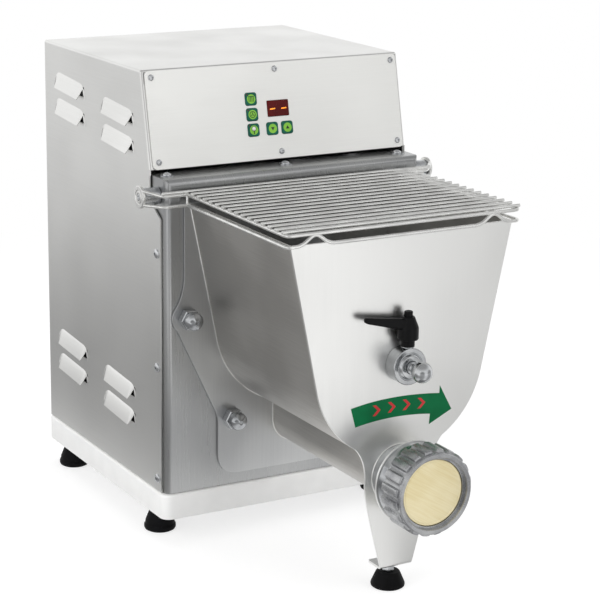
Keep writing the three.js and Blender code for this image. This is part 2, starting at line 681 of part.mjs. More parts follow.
/** Gland for the mains lead: a threaded sleeve with a domed cap outside and a ring nut inside. */
function cableGland() {
  const inner = CASING_REAR - SHEET - GAP;
  const cap = turnedAlongY([
    [GLAND_BORE, inner - GLAND_RADIUS], [GLAND_RADIUS, inner - GLAND_RADIUS],
      [GLAND_RADIUS, CASING_REAR + GAP],
    [GLAND_RADIUS, CASING_REAR + GLAND_REACH * 0.7], [GLAND_RADIUS * 0.75, CASING_REAR + GLAND_REACH],
    [GLAND_BORE, CASING_REAR + GLAND_REACH], [GLAND_BORE, inner - GLAND_RADIUS]], TINY);
  const ring = (yFront, yBack) => turnedAlongY([
    [GLAND_BORE + WELD_DEPTH, yFront], [GLAND_HEX, yFront], [GLAND_HEX, yBack],
      [GLAND_BORE + WELD_DEPTH, yBack],
    [GLAND_BORE + WELD_DEPTH, yFront]], HEX_SIDES);
  const outerRing = ring(CASING_REAR + GAP, CASING_REAR + GLAND_REACH * 0.4);
  const innerRing = ring(inner - GLAND_REACH * 0.3, inner);
  return join(cap, outerRing, innerRing);
}

add('casing_shell', casingShell(), satinSteel());
add('rear_panel', rearPanel(), satinSteel());
add('cable_gland', cableGland(), blackPlastic(), machine, [GLAND_X, 0, GLAND_Z]);

// Front cover: a folded tray whose top fold turns up behind the control panel

/** Body of the cover's tray, round along its top front edge and both upright front edges. */
function trayForm(inset, foot, rear) {
  const bend = COVER_BEND - inset;
  const half = COVER_HALF - inset;
  const side = new THREE.Shape();
  side.moveTo(inset, foot);
  side.lineTo(rear, foot);
  side.lineTo(rear, COVER_TOP - inset);
  side.lineTo(COVER_BEND, COVER_TOP - inset);
  side.absarc(COVER_BEND, COVER_TOP - COVER_BEND, bend, Math.PI / 2, Math.PI);
  const plan = new THREE.Shape();
  plan.moveTo(half, rear);
  plan.lineTo(-half, rear);
  plan.lineTo(-half, COVER_BEND);
  plan.absarc(bend - half, COVER_BEND, bend, Math.PI, Math.PI * 1.5);
  plan.lineTo(half - bend, inset);
  plan.absarc(half - bend, COVER_BEND, bend, -Math.PI / 2, 0);
  const across = slabAlongX(side, -COVER_HALF, 2 * COVER_HALF, coarse);
  return across.intersect(slabUp(plan, foot, COVER_TOP - foot, coarse));
}

function frontCover() {
  const body = trayForm(0, CASING_FLOOR, COVER_DEPTH);
  const hollow = trayForm(SHEET, CASING_FLOOR - OVERRUN, COVER_DEPTH + OVERRUN);
  const low = COVER_TOP - SHEET;
  const high = PANEL_FOOT_Z + COVER_UPSTAND;
  const upstandHalf = CASING_HALF - PANEL_FLANGE - GAP;
  const upstand = slabAlongX(polygon([
    [slopeY(low), low], [slopeY(low) + SHEET, low], [slopeY(high) + SHEET, high], [slopeY(high), high]]),
  -upstandHalf, 2 * upstandHalf);
  return cut(join(cut(body, hollow), upstand), ...driveHoles(), ...hingeHoles());
}

/** Holes of the two shaft bushes and the four clamp studs, through everything from the trough to the case. */
function driveHoles() {
  const reach = BUSH_NOSE + OVERRUN;
  const bushes = [AUGER_Z, MIXER_Z].map((z) => rodAlongY(BUSH_RADIUS + GAP, -reach,
    MOUNTING_REAR + OVERRUN, 0, z, SMALL));
  const studs = studPlaces().map(([x, z]) => rodAlongY(STUD_RADIUS + RUN, -reach, COVER_REAR_FACE, x, z,
    TINY));
  return [...bushes, ...studs];
}

function studPlaces() {
  return [[-LUG_X, LUG_Z], [LUG_X, LUG_Z], [-LOWER_STUD_X, LOWER_STUD_Z], [LOWER_STUD_X, LOWER_STUD_Z]];
}

function hingeHoles() {
  const reach = COVER_HALF + OVERRUN;
  return [turnedAlongX([
    [0, -reach], [HINGE_BOLT + RUN, -reach], [HINGE_BOLT + RUN, reach], [0, reach]], TINY)
    .translate([0, HINGE_Y, HINGE_Z])];
}

/** Steel plate behind the front cover, with the studs that carry the trough welded to it. */
function mountingPlate() {
  const plate = block(-MOUNTING_HALF, MOUNTING_HALF, COVER_REAR_FACE, MOUNTING_REAR, CASING_FLOOR,
    MOUNTING_TOP);
  const bores = [AUGER_Z, MIXER_Z].map((z) => rodAlongY(
    BUSH_RADIUS + GAP, COVER_REAR_FACE - OVERRUN, MOUNTING_REAR + OVERRUN, 0, z, SMALL));
  const pinionHole = rodAlongY(PINION_RADIUS, COVER_REAR_FACE - OVERRUN, MOUNTING_REAR + OVERRUN, 0,
    MOTOR_Z);
  const studs = studPlaces().map(([x, z]) => rodAlongY(
    STUD_RADIUS, -(HOPPER_PLATE + CLAMP_LENGTH * 0.6), COVER_REAR_FACE + WELD_DEPTH, x, z, TINY));
  return join(cut(plate, ...bores, pinionHole), ...studs);
}

add('front_cover', frontCover(), satinSteel());
add('mounting_plate', mountingPlate(), machinedSteel());

// Control panel, drawn in the sloping frame

const PLATE_FRONT = GAP + PLATE_THICKNESS;
const PLATE_CENTRE_UP = PANEL_LENGTH / 2;
const KEY_FLOOR = -KEY_STEM;

function keyPlaces() {
  const column = [0, 1, 2].map((row) => [KEY_COLUMN_X, KEY_ROW_UP + row * KEY_PITCH]);
  return [...column, [-ARROW_KEY_X, KEY_ROW_UP], [ARROW_KEY_X, KEY_ROW_UP]];
}

function controlPlate() {
  const plate = slabUp(
    roundedRectangle(2 * PLATE_HALF, PLATE_HEIGHT, PLATE_CORNER, 0, PLATE_CENTRE_UP), GAP,
      PLATE_THICKNESS);
  const open = (width, height, corner, x, up) => slabUp(
    roundedRectangle(width + 2 * RUN, height + 2 * RUN, corner, x, up), -OVERRUN,
      PLATE_FRONT + 2 * OVERRUN);
  const keyHoles = keyPlaces().map(([x, up]) => open(KEY_SIZE, KEY_SIZE, KEY_CORNER, x, up));
  return cut(plate, ...keyHoles, open(DISPLAY_WIDTH, DISPLAY_HEIGHT, KEY_CORNER / 3, 0, DISPLAY_UP));
}

function keyCap() {
  const face = KEY_PROUD + PLATE_FRONT;
  const edge = {
    bevelEnabled: true, bevelSize: KEY_PROUD / 2, bevelThickness: KEY_PROUD / 2,
      bevelOffset: -KEY_PROUD / 2, bevelSegments: 1,
  };
  return slabUp(roundedRectangle(KEY_SIZE, KEY_SIZE, KEY_CORNER), KEY_FLOOR + KEY_PROUD / 2,
    face - KEY_FLOOR - KEY_PROUD, edge);
}

function displayWindow() {
  const face = PLATE_FRONT + DISPLAY_PROUD;
  return slabUp(roundedRectangle(DISPLAY_WIDTH, DISPLAY_HEIGHT, KEY_CORNER / 3, 0, DISPLAY_UP), KEY_FLOOR,
    face - KEY_FLOOR);
}

/** Circuit board on four pillars behind the panel, with a switch below each key and the display's module. */
function controlBoard() {
  const [midX, midUp] = [KEY_COLUMN_X / 3, KEY_ROW_UP + KEY_PITCH];
  const board = slabUp(roundedRectangle(BOARD_WIDTH, BOARD_HEIGHT, KEY_CORNER, midX, midUp),
    -BOARD_DEPTH - BOARD_THICKNESS, BOARD_THICKNESS);
  const sunk = -BOARD_DEPTH - WELD_DEPTH;
  const switchTop = KEY_FLOOR - KEY_TRAVEL - GAP;
  const half = SWITCH_SIZE / 2;
  const switches = keyPlaces().map(([x, up]) => block(x - half, x + half, up - half, up + half, sunk,
    switchTop));
  const [halfWidth, halfHeight] = [DISPLAY_WIDTH / 2, DISPLAY_HEIGHT / 2];
  const screen = block(-halfWidth, halfWidth, DISPLAY_UP - halfHeight, DISPLAY_UP + halfHeight, sunk,
    KEY_FLOOR - GAP);
  const [insetX, insetUp] = [BOARD_WIDTH / 2 - 2 * BOARD_PILLAR, BOARD_HEIGHT / 2 - 2 * BOARD_PILLAR];
  const pillars = [[-1, -1], [-1, 1], [1, -1], [1, 1]].map(([sx, su]) => rodUp(
    BOARD_PILLAR, sunk, 0, midX + sx * insetX, midUp + su * insetUp, TINY));
  return join(board, ...switches, screen, ...pillars);
}

add('control_plate', controlPlate(), finish('#dcdcda', 0.35, 0.85), panel);
add('display_window', displayWindow(), finish('#5c0b0e', 0.12, 0), panel);
add('control_board', controlBoard(), finish('#1d5a36', 0.6, 0), panel);
const keyNames = ['key_extrude', 'key_knead', 'key_stop', 'key_time_down', 'key_time_up'];
keyPlaces().forEach(([x, up], i) => add(keyNames[i], keyCap(), finish('#11695a', 0.5, 0), panel,
  [x, up, 0]));

// Drive: a geared motor turns the mixer gear, and that turns the auger gear below it

/** Outline of an involute gear, with the middle of one tooth at the given angle. */
function gearOutline(teeth, toothAngle) {
  const pressure = THREE.MathUtils.degToRad(PRESSURE_ANGLE);
  const involute = (angle) => Math.tan(angle) - angle;
  const pitch = GEAR_MODULE * teeth / 2;
  const base = pitch * Math.cos(pressure);
  const root = pitch - 1.25 * GEAR_MODULE;
  const tip = pitch + GEAR_MODULE;
  const halfAt = (r) => Math.PI / (2 * teeth) - BACKLASH / (2 * pitch) + involute(pressure)
    - (r > base ? involute(Math.acos(base / r)) : 0);
  const flank = [root, tip];
  const points = [];
  for (let tooth = 0; tooth < teeth; tooth += 1) {
    const middle = toothAngle + tooth * 2 * Math.PI / teeth;
    for (const r of flank) points.push([r, middle - halfAt(r)]);
    for (const r of [...flank].reverse()) points.push([r, middle + halfAt(r)]);
  }
  return new THREE.Shape(points.map(([r, angle]) => new THREE.Vector2(r * Math.cos(angle),
    r * Math.sin(angle))));
}

function gear(teeth, toothAngle, bore) {
  const disc = slabAlongY(gearOutline(teeth, toothAngle), GEAR_Y + GEAR_WIDTH, GEAR_WIDTH);
  return cut(disc, rodAlongY(bore + GAP, GEAR_Y - OVERRUN, GEAR_Y + GEAR_WIDTH + OVERRUN, 0, 0, SMALL));
}

/** Drive shaft with a nose that enters the socket of the mixer or the auger. */
function driveShaft() {
  return rodAlongY(SHAFT_RADIUS, -(MIXER_REAR + SOCKET_DEPTH - GAP), CASE_REAR + CASE_COVER / 2, 0, 0,
    SMALL);
}

function bush() {
  return turnedAlongY([
    [SHAFT_RADIUS + RUN, -BUSH_NOSE], [BUSH_FLANGE, -BUSH_NOSE], [BUSH_FLANGE, -TROUGH_REAR],
      [BUSH_RADIUS, -TROUGH_REAR],
    [BUSH_RADIUS, CASE_FRONT + CASE_FRONT_WALL], [SHAFT_RADIUS + RUN, CASE_FRONT + CASE_FRONT_WALL],
    [SHAFT_RADIUS + RUN, -BUSH_NOSE]], SMALL);
}

function caseOutline(inset) {
  const half = GEAR_RADIUS + GEAR_MODULE + CASE_CLEAR + CASE_WALL - inset;
  const low = inset > 0 ? AUGER_Z - GEAR_RADIUS - GEAR_MODULE - CASE_CLEAR : CASING_FLOOR;
  const high = MOTOR_Z + PINION_RADIUS + GEAR_MODULE + CASE_CLEAR + CASE_WALL - inset;
  return roundedRectangle(2 * half, high - low, CASE_CORNER - inset, 0, (low + high) / 2);
}

function gearCase() {
  const body = slabAlongY(caseOutline(0), CASE_REAR, CASE_DEPTH, coarse);
  const room = slabAlongY(caseOutline(CASE_WALL), CASE_REAR + OVERRUN,
    CASE_DEPTH - CASE_FRONT_WALL + OVERRUN, coarse);
  const bores = [AUGER_Z, MIXER_Z].map((z) => rodAlongY(BUSH_RADIUS + GAP, CASE_FRONT - OVERRUN,
    CASE_REAR, 0, z, SMALL));
  return cut(body, room, ...bores);
}

function gearCaseCover() {
  const rear = CASE_REAR + GAP + CASE_COVER;
  const plate = slabAlongY(caseOutline(0), rear, CASE_COVER, coarse);
  const bores = [AUGER_Z, MIXER_Z].map((z) => rodAlongY(SHAFT_RADIUS + RUN, CASE_REAR,
    CASE_REAR + CASE_COVER / 2 + GAP, 0, z, SMALL));
  return cut(plate, ...bores, rodAlongY(MOTOR_SHAFT + RUN, CASE_REAR, rear + OVERRUN, 0, MOTOR_Z, SMALL));
}

/** Geared motor bolted to the case cover: flange, reducer, stator and fan cowl, with its terminal box. */
function gearedMotor() {
  const front = MOTOR_FRONT;
  const rear = front + MOTOR_LENGTH;
  const place = (share) => front + MOTOR_LENGTH * share;
  const body = turnedAlongY([
    [MOTOR_SHAFT + RUN, front], [MOTOR_FLANGE, front], [MOTOR_FLANGE, place(0.06)],
      [MOTOR_REDUCER, place(0.08)],
    [MOTOR_REDUCER, place(0.34)], [MOTOR_RADIUS, place(0.38)], [MOTOR_RADIUS, place(0.78)],
    [MOTOR_RADIUS * 0.96, place(0.8)], [MOTOR_RADIUS * 0.96, place(0.96)], [MOTOR_RADIUS * 0.86, rear],
    [0, rear], [0, place(0.3)], [MOTOR_SHAFT + RUN, place(0.3)], [MOTOR_SHAFT + RUN, front]]);
  const box = block(MOTOR_RADIUS * 0.7, MOTOR_RADIUS + TERMINAL_BOX / 2, place(0.5),
    place(0.5) + TERMINAL_BOX * 1.4,
    -TERMINAL_BOX / 2, TERMINAL_BOX / 2);
  return join(body, box);
}

function motorPinion() {
  const top = MOTOR_FRONT + MOTOR_LENGTH * 0.3 - GAP;
  const toothAngle = -Math.PI / 2 + Math.PI / PINION_TEETH;
  const teeth = slabAlongY(gearOutline(PINION_TEETH, toothAngle), GEAR_Y + GEAR_WIDTH, GEAR_WIDTH);
  return join(teeth, rodAlongY(MOTOR_SHAFT, GEAR_Y - 2 * GAP, top, 0, 0, SMALL));
}

add('gear_case', gearCase(), castAluminium());
add('gear_case_cover', gearCaseCover(), castAluminium());
add('geared_motor', gearedMotor(), finish('#6f7478', 0.55, 0.4), machine, [0, 0, MOTOR_Z]);
add('motor_pinion', motorPinion(), machinedSteel(), machine, [0, 0, MOTOR_Z]);
add('mixer_gear', gear(DRIVE_TEETH, Math.PI / 2, SHAFT_RADIUS), machinedSteel(), machine,
  [0, 0, MIXER_Z]);
add('auger_gear', gear(DRIVE_TEETH, Math.PI / 2 + Math.PI / DRIVE_TEETH, SHAFT_RADIUS), machinedSteel(),
  machine, [0, 0, AUGER_Z]);
add('mixer_drive_shaft', driveShaft(), machinedSteel(), machine, [0, 0, MIXER_Z]);
add('auger_drive_shaft', driveShaft(), machinedSteel(), machine, [0, 0, AUGER_Z]);
add('mixer_bush', bush(), brass(), machine, [0, 0, MIXER_Z]);
add('auger_bush', bush(), brass(), machine, [0, 0, AUGER_Z]);

// Trough: rear plate, folded channel with the auger groove, and front plate with its leg

function rearPlateOutline() {
  const shape = new THREE.Shape();
  const lugLow = [LUG_X + LUG_RADIUS * 0.68, LUG_Z - LUG_RADIUS * 0.74];
  const lugHigh = [LUG_X + LUG_RADIUS * 0.74, LUG_Z + LUG_RADIUS * 0.68];
  shape.moveTo(-REAR_FOOT_HALF, REAR_PLATE_FOOT);
  shape.lineTo(REAR_FOOT_HALF, REAR_PLATE_FOOT);
  shape.quadraticCurveTo(REAR_WAIST_HALF, REAR_PLATE_FOOT, REAR_WAIST_HALF, REAR_WAIST_FOOT);
  shape.lineTo(REAR_WAIST_HALF, REAR_WAIST_TOP - LUG_RADIUS / 2);
  shape.lineTo(REAR_WAIST_HALF + LUG_RADIUS / 5, REAR_WAIST_TOP);
  shape.lineTo(...lugLow);
  shape.absarc(LUG_X, LUG_Z, LUG_RADIUS, Math.atan2(-0.74, 0.68), Math.atan2(0.68, 0.74));
  shape.quadraticCurveTo(REAR_PLATE_HALF, (lugHigh[1] + LUG_RISE) / 2, REAR_PLATE_HALF, LUG_RISE);
  shape.lineTo(REAR_PLATE_HALF, TROUGH_TOP);
  shape.lineTo(-REAR_PLATE_HALF, TROUGH_TOP);
  shape.lineTo(-REAR_PLATE_HALF, LUG_RISE);
  shape.quadraticCurveTo(-REAR_PLATE_HALF, (lugHigh[1] + LUG_RISE) / 2, -lugHigh[0], lugHigh[1]);
  shape.absarc(-LUG_X, LUG_Z, LUG_RADIUS, Math.atan2(0.68, -0.74),
    Math.atan2(-0.74, -0.68) + 2 * Math.PI);
  shape.lineTo(-REAR_WAIST_HALF - LUG_RADIUS / 5, REAR_WAIST_TOP);
  shape.lineTo(-REAR_WAIST_HALF, REAR_WAIST_TOP - LUG_RADIUS / 2);
  shape.lineTo(-REAR_WAIST_HALF, REAR_WAIST_FOOT);
  shape.quadraticCurveTo(-REAR_WAIST_HALF, REAR_PLATE_FOOT, -REAR_FOOT_HALF, REAR_PLATE_FOOT);
  return shape;
}

function hopperRearPlate() {
  return cut(slabAlongY(rearPlateOutline(), -GAP, HOPPER_PLATE, { curveSegments: ARC_STEPS - 2 }),
    ...driveHoles());
}

/** Outline across the trough: leaning walls, the bowl round the mixer, and the auger groove below it. */
function troughOutline(inset, top) {
  const lean = THREE.MathUtils.degToRad(TROUGH_LEAN);
  const bowl = TROUGH_RADIUS - inset;
  const groove = CHANNEL_HALF - inset;
  const mouth = Math.asin(groove / bowl);
  const rimX = bowl * Math.cos(lean) + (top - MIXER_Z + bowl * Math.sin(lean)) * Math.tan(lean);
  const shape = new THREE.Shape();
  shape.moveTo(rimX, top);
  shape.lineTo(-rimX, top);
  shape.absarc(0, MIXER_Z, bowl, Math.PI + lean, Math.PI * 1.5 - mouth);
  shape.absarc(0, AUGER_Z, groove, Math.PI, 2 * Math.PI);
  shape.absarc(0, MIXER_Z, bowl, Math.PI * 1.5 + mouth, 2 * Math.PI - lean);
  return shape;
}

function hopperTrough() {
  const length = PLATE_REAR - GAP - TROUGH_REAR;
  const body = slabAlongY(troughOutline(0, TROUGH_TOP), -TROUGH_REAR, length);
  const room = slabAlongY(troughOutline(TROUGH_SKIN, TROUGH_TOP + OVERRUN), OVERRUN - TROUGH_REAR,
    length + 2 * OVERRUN);
  return cut(body, room);
}

function frontPlateOutline() {
  const lean = THREE.MathUtils.degToRad(TROUGH_LEAN);
  const rimX = TROUGH_RADIUS * Math.cos(lean) + (TROUGH_TOP - MIXER_Z + TROUGH_RADIUS * Math.sin(lean))
    * Math.tan(lean);
  const hip = Math.asin(1.3 * LEG_HALF / TROUGH_RADIUS);
  const shape = new THREE.Shape();
  shape.moveTo(rimX, TROUGH_TOP);
  shape.lineTo(-rimX, TROUGH_TOP);
  shape.absarc(0, MIXER_Z, TROUGH_RADIUS, Math.PI + lean, Math.PI * 1.5 - hip);
  shape.quadraticCurveTo(-LEG_HALF, LEG_SHOULDER + LEG_HALF / 4, -LEG_HALF, LEG_SHOULDER - LEG_HALF / 4);
  shape.lineTo(-LEG_HALF, LEG_KNEE);
  shape.lineTo(-LEG_FOOT_HALF, LEG_FOOT_Z);
  shape.lineTo(LEG_FOOT_HALF, LEG_FOOT_Z);
  shape.lineTo(LEG_HALF, LEG_KNEE);
  shape.lineTo(LEG_HALF, LEG_SHOULDER - LEG_HALF / 4);
  shape.quadraticCurveTo(LEG_HALF, LEG_SHOULDER + LEG_HALF / 4, TROUGH_RADIUS * Math.sin(hip),
    MIXER_Z - TROUGH_RADIUS * Math.cos(hip));
  shape.absarc(0, MIXER_Z, TROUGH_RADIUS, Math.PI * 1.5 + hip, 2 * Math.PI - lean);
  return shape;
}

/** Front plate with the drawn collar round the extruder neck and the folded foot of its leg. */
function hopperFrontPlate() {
  const plate = slabAlongY(frontPlateOutline(), -PLATE_REAR, HOPPER_PLATE);
  const inner = NECK_RADIUS + GAP;
  const outer = inner + COLLAR_SKIN;
  const collar = turnedAlongY([
    [inner, -(HOPPER_REACH + COLLAR_HEIGHT)], [outer - COLLAR_SKIN / 3, -(HOPPER_REACH + COLLAR_HEIGHT)],
    [outer, -(HOPPER_REACH + COLLAR_HEIGHT - COLLAR_SKIN / 2)], [outer, -HOPPER_REACH + WELD_DEPTH],
    [inner, -HOPPER_REACH + WELD_DEPTH], [inner, -(HOPPER_REACH + COLLAR_HEIGHT)]],
      FINE).translate([0, 0, AUGER_Z]);
  const flange = block(-LEG_FOOT_HALF, LEG_FOOT_HALF, -HOPPER_REACH, LEG_FLANGE - HOPPER_REACH,
    LEG_FOOT_Z - HOPPER_PLATE / 2,
    LEG_FOOT_Z + HOPPER_PLATE / 2);
  const neckHole = rodAlongY(inner, -HOPPER_REACH - OVERRUN, OVERRUN - PLATE_REAR, 0, AUGER_Z, FINE);
  const boreHole = rodAlongY(BOSS_NOSE + GAP, -HOPPER_REACH - OVERRUN, OVERRUN - PLATE_REAR, 0, MIXER_Z);
  const studHole = rodUp(LEG_STUD_RADIUS + RUN, LEG_FOOT_Z - HOPPER_PLATE - OVERRUN,
    LEG_FOOT_Z + HOPPER_PLATE + OVERRUN,
    0, LEG_STUD_BACK - HOPPER_REACH, TINY);
  return cut(join(cut(plate, neckHole), collar, flange), boreHole, studHole);
}

/** Stud of the leg's foot with its lock nut. */
function legStud() {
  const top = LEG_FOOT_Z + HOPPER_PLATE / 2;
  const low = LEG_PAD_HEIGHT / 2 + GAP;
  const rod = turnedUp([[0, low], [LEG_STUD_RADIUS, low], [LEG_STUD_RADIUS, top + 2 * LEG_NUT_HEIGHT],
    [0, top + 2 * LEG_NUT_HEIGHT]], TINY);
  const nut = turnedUp([[0, top + GAP], [LEG_NUT_RADIUS, top + GAP],
    [LEG_NUT_RADIUS, top + LEG_NUT_HEIGHT],
    [0, top + LEG_NUT_HEIGHT]], HEX_SIDES);
  const lower = LEG_FOOT_Z - HOPPER_PLATE / 2 - GAP;
  const washer = turnedUp([[0, LEG_PAD_HEIGHT + GAP], [LEG_NUT_RADIUS, LEG_PAD_HEIGHT + GAP],
    [LEG_NUT_RADIUS, lower],
    [0, lower]], HEX_SIDES);
  return join(rod, nut, washer);
}

function legPad() {
  return turnedUp([
    [0, 0], [LEG_PAD_RADIUS * 0.9, 0], [LEG_PAD_RADIUS, LEG_PAD_TREAD], [LEG_PAD_TOP, LEG_PAD_HEIGHT],
    [LEG_STUD_RADIUS + RUN, LEG_PAD_HEIGHT],
    [LEG_STUD_RADIUS + RUN, LEG_PAD_HEIGHT / 2], [0, LEG_PAD_HEIGHT / 2]]);
}

/** Domed nut on a clamp stud: hexagon against the plate, turned dome in front, blind thread bore. */
function clampNut() {
  const seat = -(2 * GAP + HOPPER_PLATE);
  const hexRadius = CLAMP_FLATS / Math.sqrt(3);
  const nose = seat - CLAMP_LENGTH;
  const dome = turnedAlongY([
    [0, nose], [CLAMP_DOME * 0.55, nose], [CLAMP_DOME * 0.88, nose + CLAMP_DOME * 0.25],
      [CLAMP_DOME, nose + CLAMP_DOME * 0.6],
    [CLAMP_DOME, seat - CLAMP_HEX + WELD_DEPTH], [0, seat - CLAMP_HEX + WELD_DEPTH]], SMALL);
  const hex = turnedAlongY([
    [0, seat - CLAMP_HEX], [hexRadius * 0.93, seat - CLAMP_HEX], [hexRadius, seat - CLAMP_HEX * 0.85],
      [hexRadius, seat],
    [0, seat]], HEX_SIDES);
  return cut(join(dome, hex), rodAlongY(STUD_RADIUS + RUN, seat - CLAMP_LENGTH * 0.7, seat + OVERRUN, 0,
    0, TINY));
}

add('hopper_rear_plate', hopperRearPlate(), satinSteel());
add('hopper_trough', hopperTrough(), satinSteel());
add('hopper_front_plate', hopperFrontPlate(), satinSteel());
add('leg_stud', legStud(), machinedSteel(), machine, [0, LEG_STUD_BACK - HOPPER_REACH, 0]);
add('leg_pad', legPad(), blackRubber(), machine, [0, LEG_STUD_BACK - HOPPER_REACH, 0]);
const clampNames = ['clamp_nut_upper_left', 'clamp_nut_upper_right', 'clamp_nut_lower_left',
  'clamp_nut_lower_right'];
studPlaces().forEach(([x, z], i) => add(clampNames[i], clampNut(), machinedSteel(), machine, [x, 0, z]));

// Extruder: neck with its threaded head, auger, die and ring nut, all on the auger's axis

function extruderHead() {
  const rear = -(PLATE_REAR - GAP) - GAP;
  return turnedAlongY([
    [CHANNEL_BORE, rear], [CHANNEL_BORE, -HEAD_FACE], [HEAD_RADIUS - HEAD_CHAMFER, -HEAD_FACE],
    [HEAD_RADIUS, HEAD_CHAMFER - HEAD_FACE],
    [HEAD_RADIUS, -HEAD_REAR], [NECK_RADIUS, -HEAD_REAR], [NECK_RADIUS, rear], [CHANNEL_BORE, rear]],
      FINE);
}

/** Helical flight of the auger: a tapering section swept round the core at a steady pitch. */
function flight(yFront, yBack) {
  const rise = AUGER_PITCH / AUGER_STEPS;
  const steps = Math.floor((yBack - yFront) / rise);
  const inner = AUGER_CORE - WELD_DEPTH;
  const section = [
    [inner, -FLIGHT_ROOT / 2], [FLIGHT_RADIUS, -FLIGHT_TIP / 2], [FLIGHT_RADIUS, FLIGHT_TIP / 2],
      [inner, FLIGHT_ROOT / 2]];
  const positions = [];
  for (let step = 0; step <= steps; step += 1) {
    const angle = 2 * Math.PI * step / AUGER_STEPS;
    const y = yFront + step * rise;
    for (const [r, along] of section) positions.push(r * Math.sin(angle), y + along, r * Math.cos(angle));
  }
  const count = section.length;
  const index = [];
  for (let step = 0; step < steps; step += 1) {
    for (let k = 0; k < count; k += 1) {
      const [a, b] = [step * count + k, step * count + (k + 1) % count];
      index.push(a, b, a + count, b, b + count, a + count);
    }
  }
  const last = steps * count;
  index.push(0, 2, 1, 0, 3, 2, last, last + 1, last + 2, last, last + 2, last + 3);
  const geometry = new THREE.BufferGeometry();
  geometry.setAttribute('position', new THREE.Float32BufferAttribute(positions, 3));
  geometry.setIndex(index);
  return solid(geometry);
}

function auger() {
  const nose = HEAD_FACE - 2 * GAP;
  const core = turnedAlongY([
    [0, -nose], [AUGER_CORE / 2, -nose], [AUGER_CORE, AUGER_CORE - nose], [AUGER_CORE, -MIXER_REAR],
    [0, -MIXER_REAR]], AUGER_STEPS);
  const socket = rodAlongY(SHAFT_RADIUS + GAP, -MIXER_REAR - SOCKET_DEPTH, OVERRUN - MIXER_REAR, 0, 0,
    SMALL);
  return join(cut(core, socket), flight(AUGER_CORE - nose + FLIGHT_ROOT, -MIXER_REAR - FLIGHT_ROOT));
}

function dieDisc() {
  const rear = -(HEAD_FACE + GAP);
  const chamfer = DIE_FLANGE - DIE_RADIUS;
  return turnedAlongY([
    [0, rear], [DIE_FLANGE, rear], [DIE_FLANGE, -DIE_SHOULDER], [DIE_RADIUS, -DIE_SHOULDER],
      [DIE_RADIUS, chamfer / 4 - DIE_FACE],
    [DIE_RADIUS - chamfer / 4, -DIE_FACE], [0, -DIE_FACE]], FINE);
}

/** Grip lobes of the ring nut: a ring of rounded teeth, drawn across the axis. */
function lobeOutline() {
  const points = [];
  const pitch = 2 * Math.PI / NUT_LOBES;
  const shares = [[-0.3, 0], [-0.15, 1], [0.15, 1], [0.3, 0]];
  for (let lobe = 0; lobe < NUT_LOBES; lobe += 1) {
    for (const [turn, rise] of shares) {
      const angle = (lobe + turn) * pitch;
      const r = NUT_ROOT + NUT_LOBE * rise;
      points.push([r * Math.cos(angle), r * Math.sin(angle)]);
    }
  }
  return polygon(points);
}

function ringNut() {
  const seat = -(DIE_SHOULDER + GAP);
  const grip = slabAlongY(lobeOutline(), -NUT_REAR, NUT_LOBE_FACE - NUT_REAR);
  const nose = turnedAlongY([
    [0, WELD_DEPTH - NUT_LOBE_FACE], [NUT_ROOT - WELD_DEPTH, WELD_DEPTH - NUT_LOBE_FACE],
    [NUT_ROOT - WELD_DEPTH, NUT_CHAMFER - NUT_FACE], [NUT_ROOT - NUT_CHAMFER - WELD_DEPTH, -NUT_FACE],
      [0, -NUT_FACE]], FINE);
  const bore = turnedAlongY([
    [0, OVERRUN - NUT_REAR], [NUT_BORE, OVERRUN - NUT_REAR], [NUT_BORE, seat], [NUT_LIP_BORE, seat],
    [NUT_LIP_BORE, NUT_MOUTH_DEPTH - NUT_FACE], [NUT_MOUTH, NUT_MOUTH_DEPTH - NUT_FACE],
      [NUT_MOUTH, -NUT_FACE - OVERRUN],
      [0, -NUT_FACE - OVERRUN]], FINE);
  return cut(join(grip, nose), bore);
}

const augerAxis = [0, 0, AUGER_Z];
add('extruder_head', extruderHead(), machinedSteel(), machine, augerAxis);
add('auger', auger(), machinedSteel(), machine, augerAxis);
add('die_disc', dieDisc(), brass(), machine, augerAxis);
add('ring_nut', ringNut(), castAluminium(), machine, augerAxis);

// Mixer and its withdrawable front bearing

/** Mixing shaft: a core with arms set round it, each ending in a paddle along the trough. */
function mixingShaft() {
  const front = -(PLATE_REAR - BUSH_FLANGE_THICKNESS);
  const core = turnedAlongY([
    [PIN_RADIUS + RUN, front], [MIXER_CORE, front], [MIXER_CORE, -MIXER_REAR],
      [SHAFT_RADIUS + GAP, -MIXER_REAR],
    [SHAFT_RADIUS + GAP, -MIXER_REAR - SOCKET_DEPTH], [0, -MIXER_REAR - SOCKET_DEPTH],
    [0, -PIN_NOSE + RUN], [PIN_RADIUS + RUN, -PIN_NOSE + RUN], [PIN_RADIUS + RUN, front]], SMALL);
  const length = -MIXER_REAR - front;
  const arms = [];
  for (let i = 0; i < MIXER_ARMS; i += 1) {
    const y = front + length * (i + 0.5) / MIXER_ARMS;
    const tilt = ARM_START + ARM_TURN * i;
    const arm = rodUp(MIXER_ARM, 0, MIXER_REACH - PADDLE_HEIGHT / 2, 0, 0, TINY);
    const half = PADDLE_THICKNESS / 2;
    const paddle = block(-half, half, -PADDLE_WIDTH / 2, PADDLE_WIDTH / 2, MIXER_REACH - PADDLE_HEIGHT,
      MIXER_REACH);
    arms.push(join(arm, paddle).rotate([0, tilt, 0]).translate([0, y, 0]));
  }
  const hollow = join(
    rodAlongY(SHAFT_RADIUS + GAP, -MIXER_REAR - SOCKET_DEPTH, OVERRUN - MIXER_REAR, 0, 0, SMALL),
    rodAlongY(PIN_RADIUS + RUN, front - OVERRUN, -PIN_NOSE + RUN, 0, 0, SMALL));
  return cut(join(core, ...arms), hollow);
}

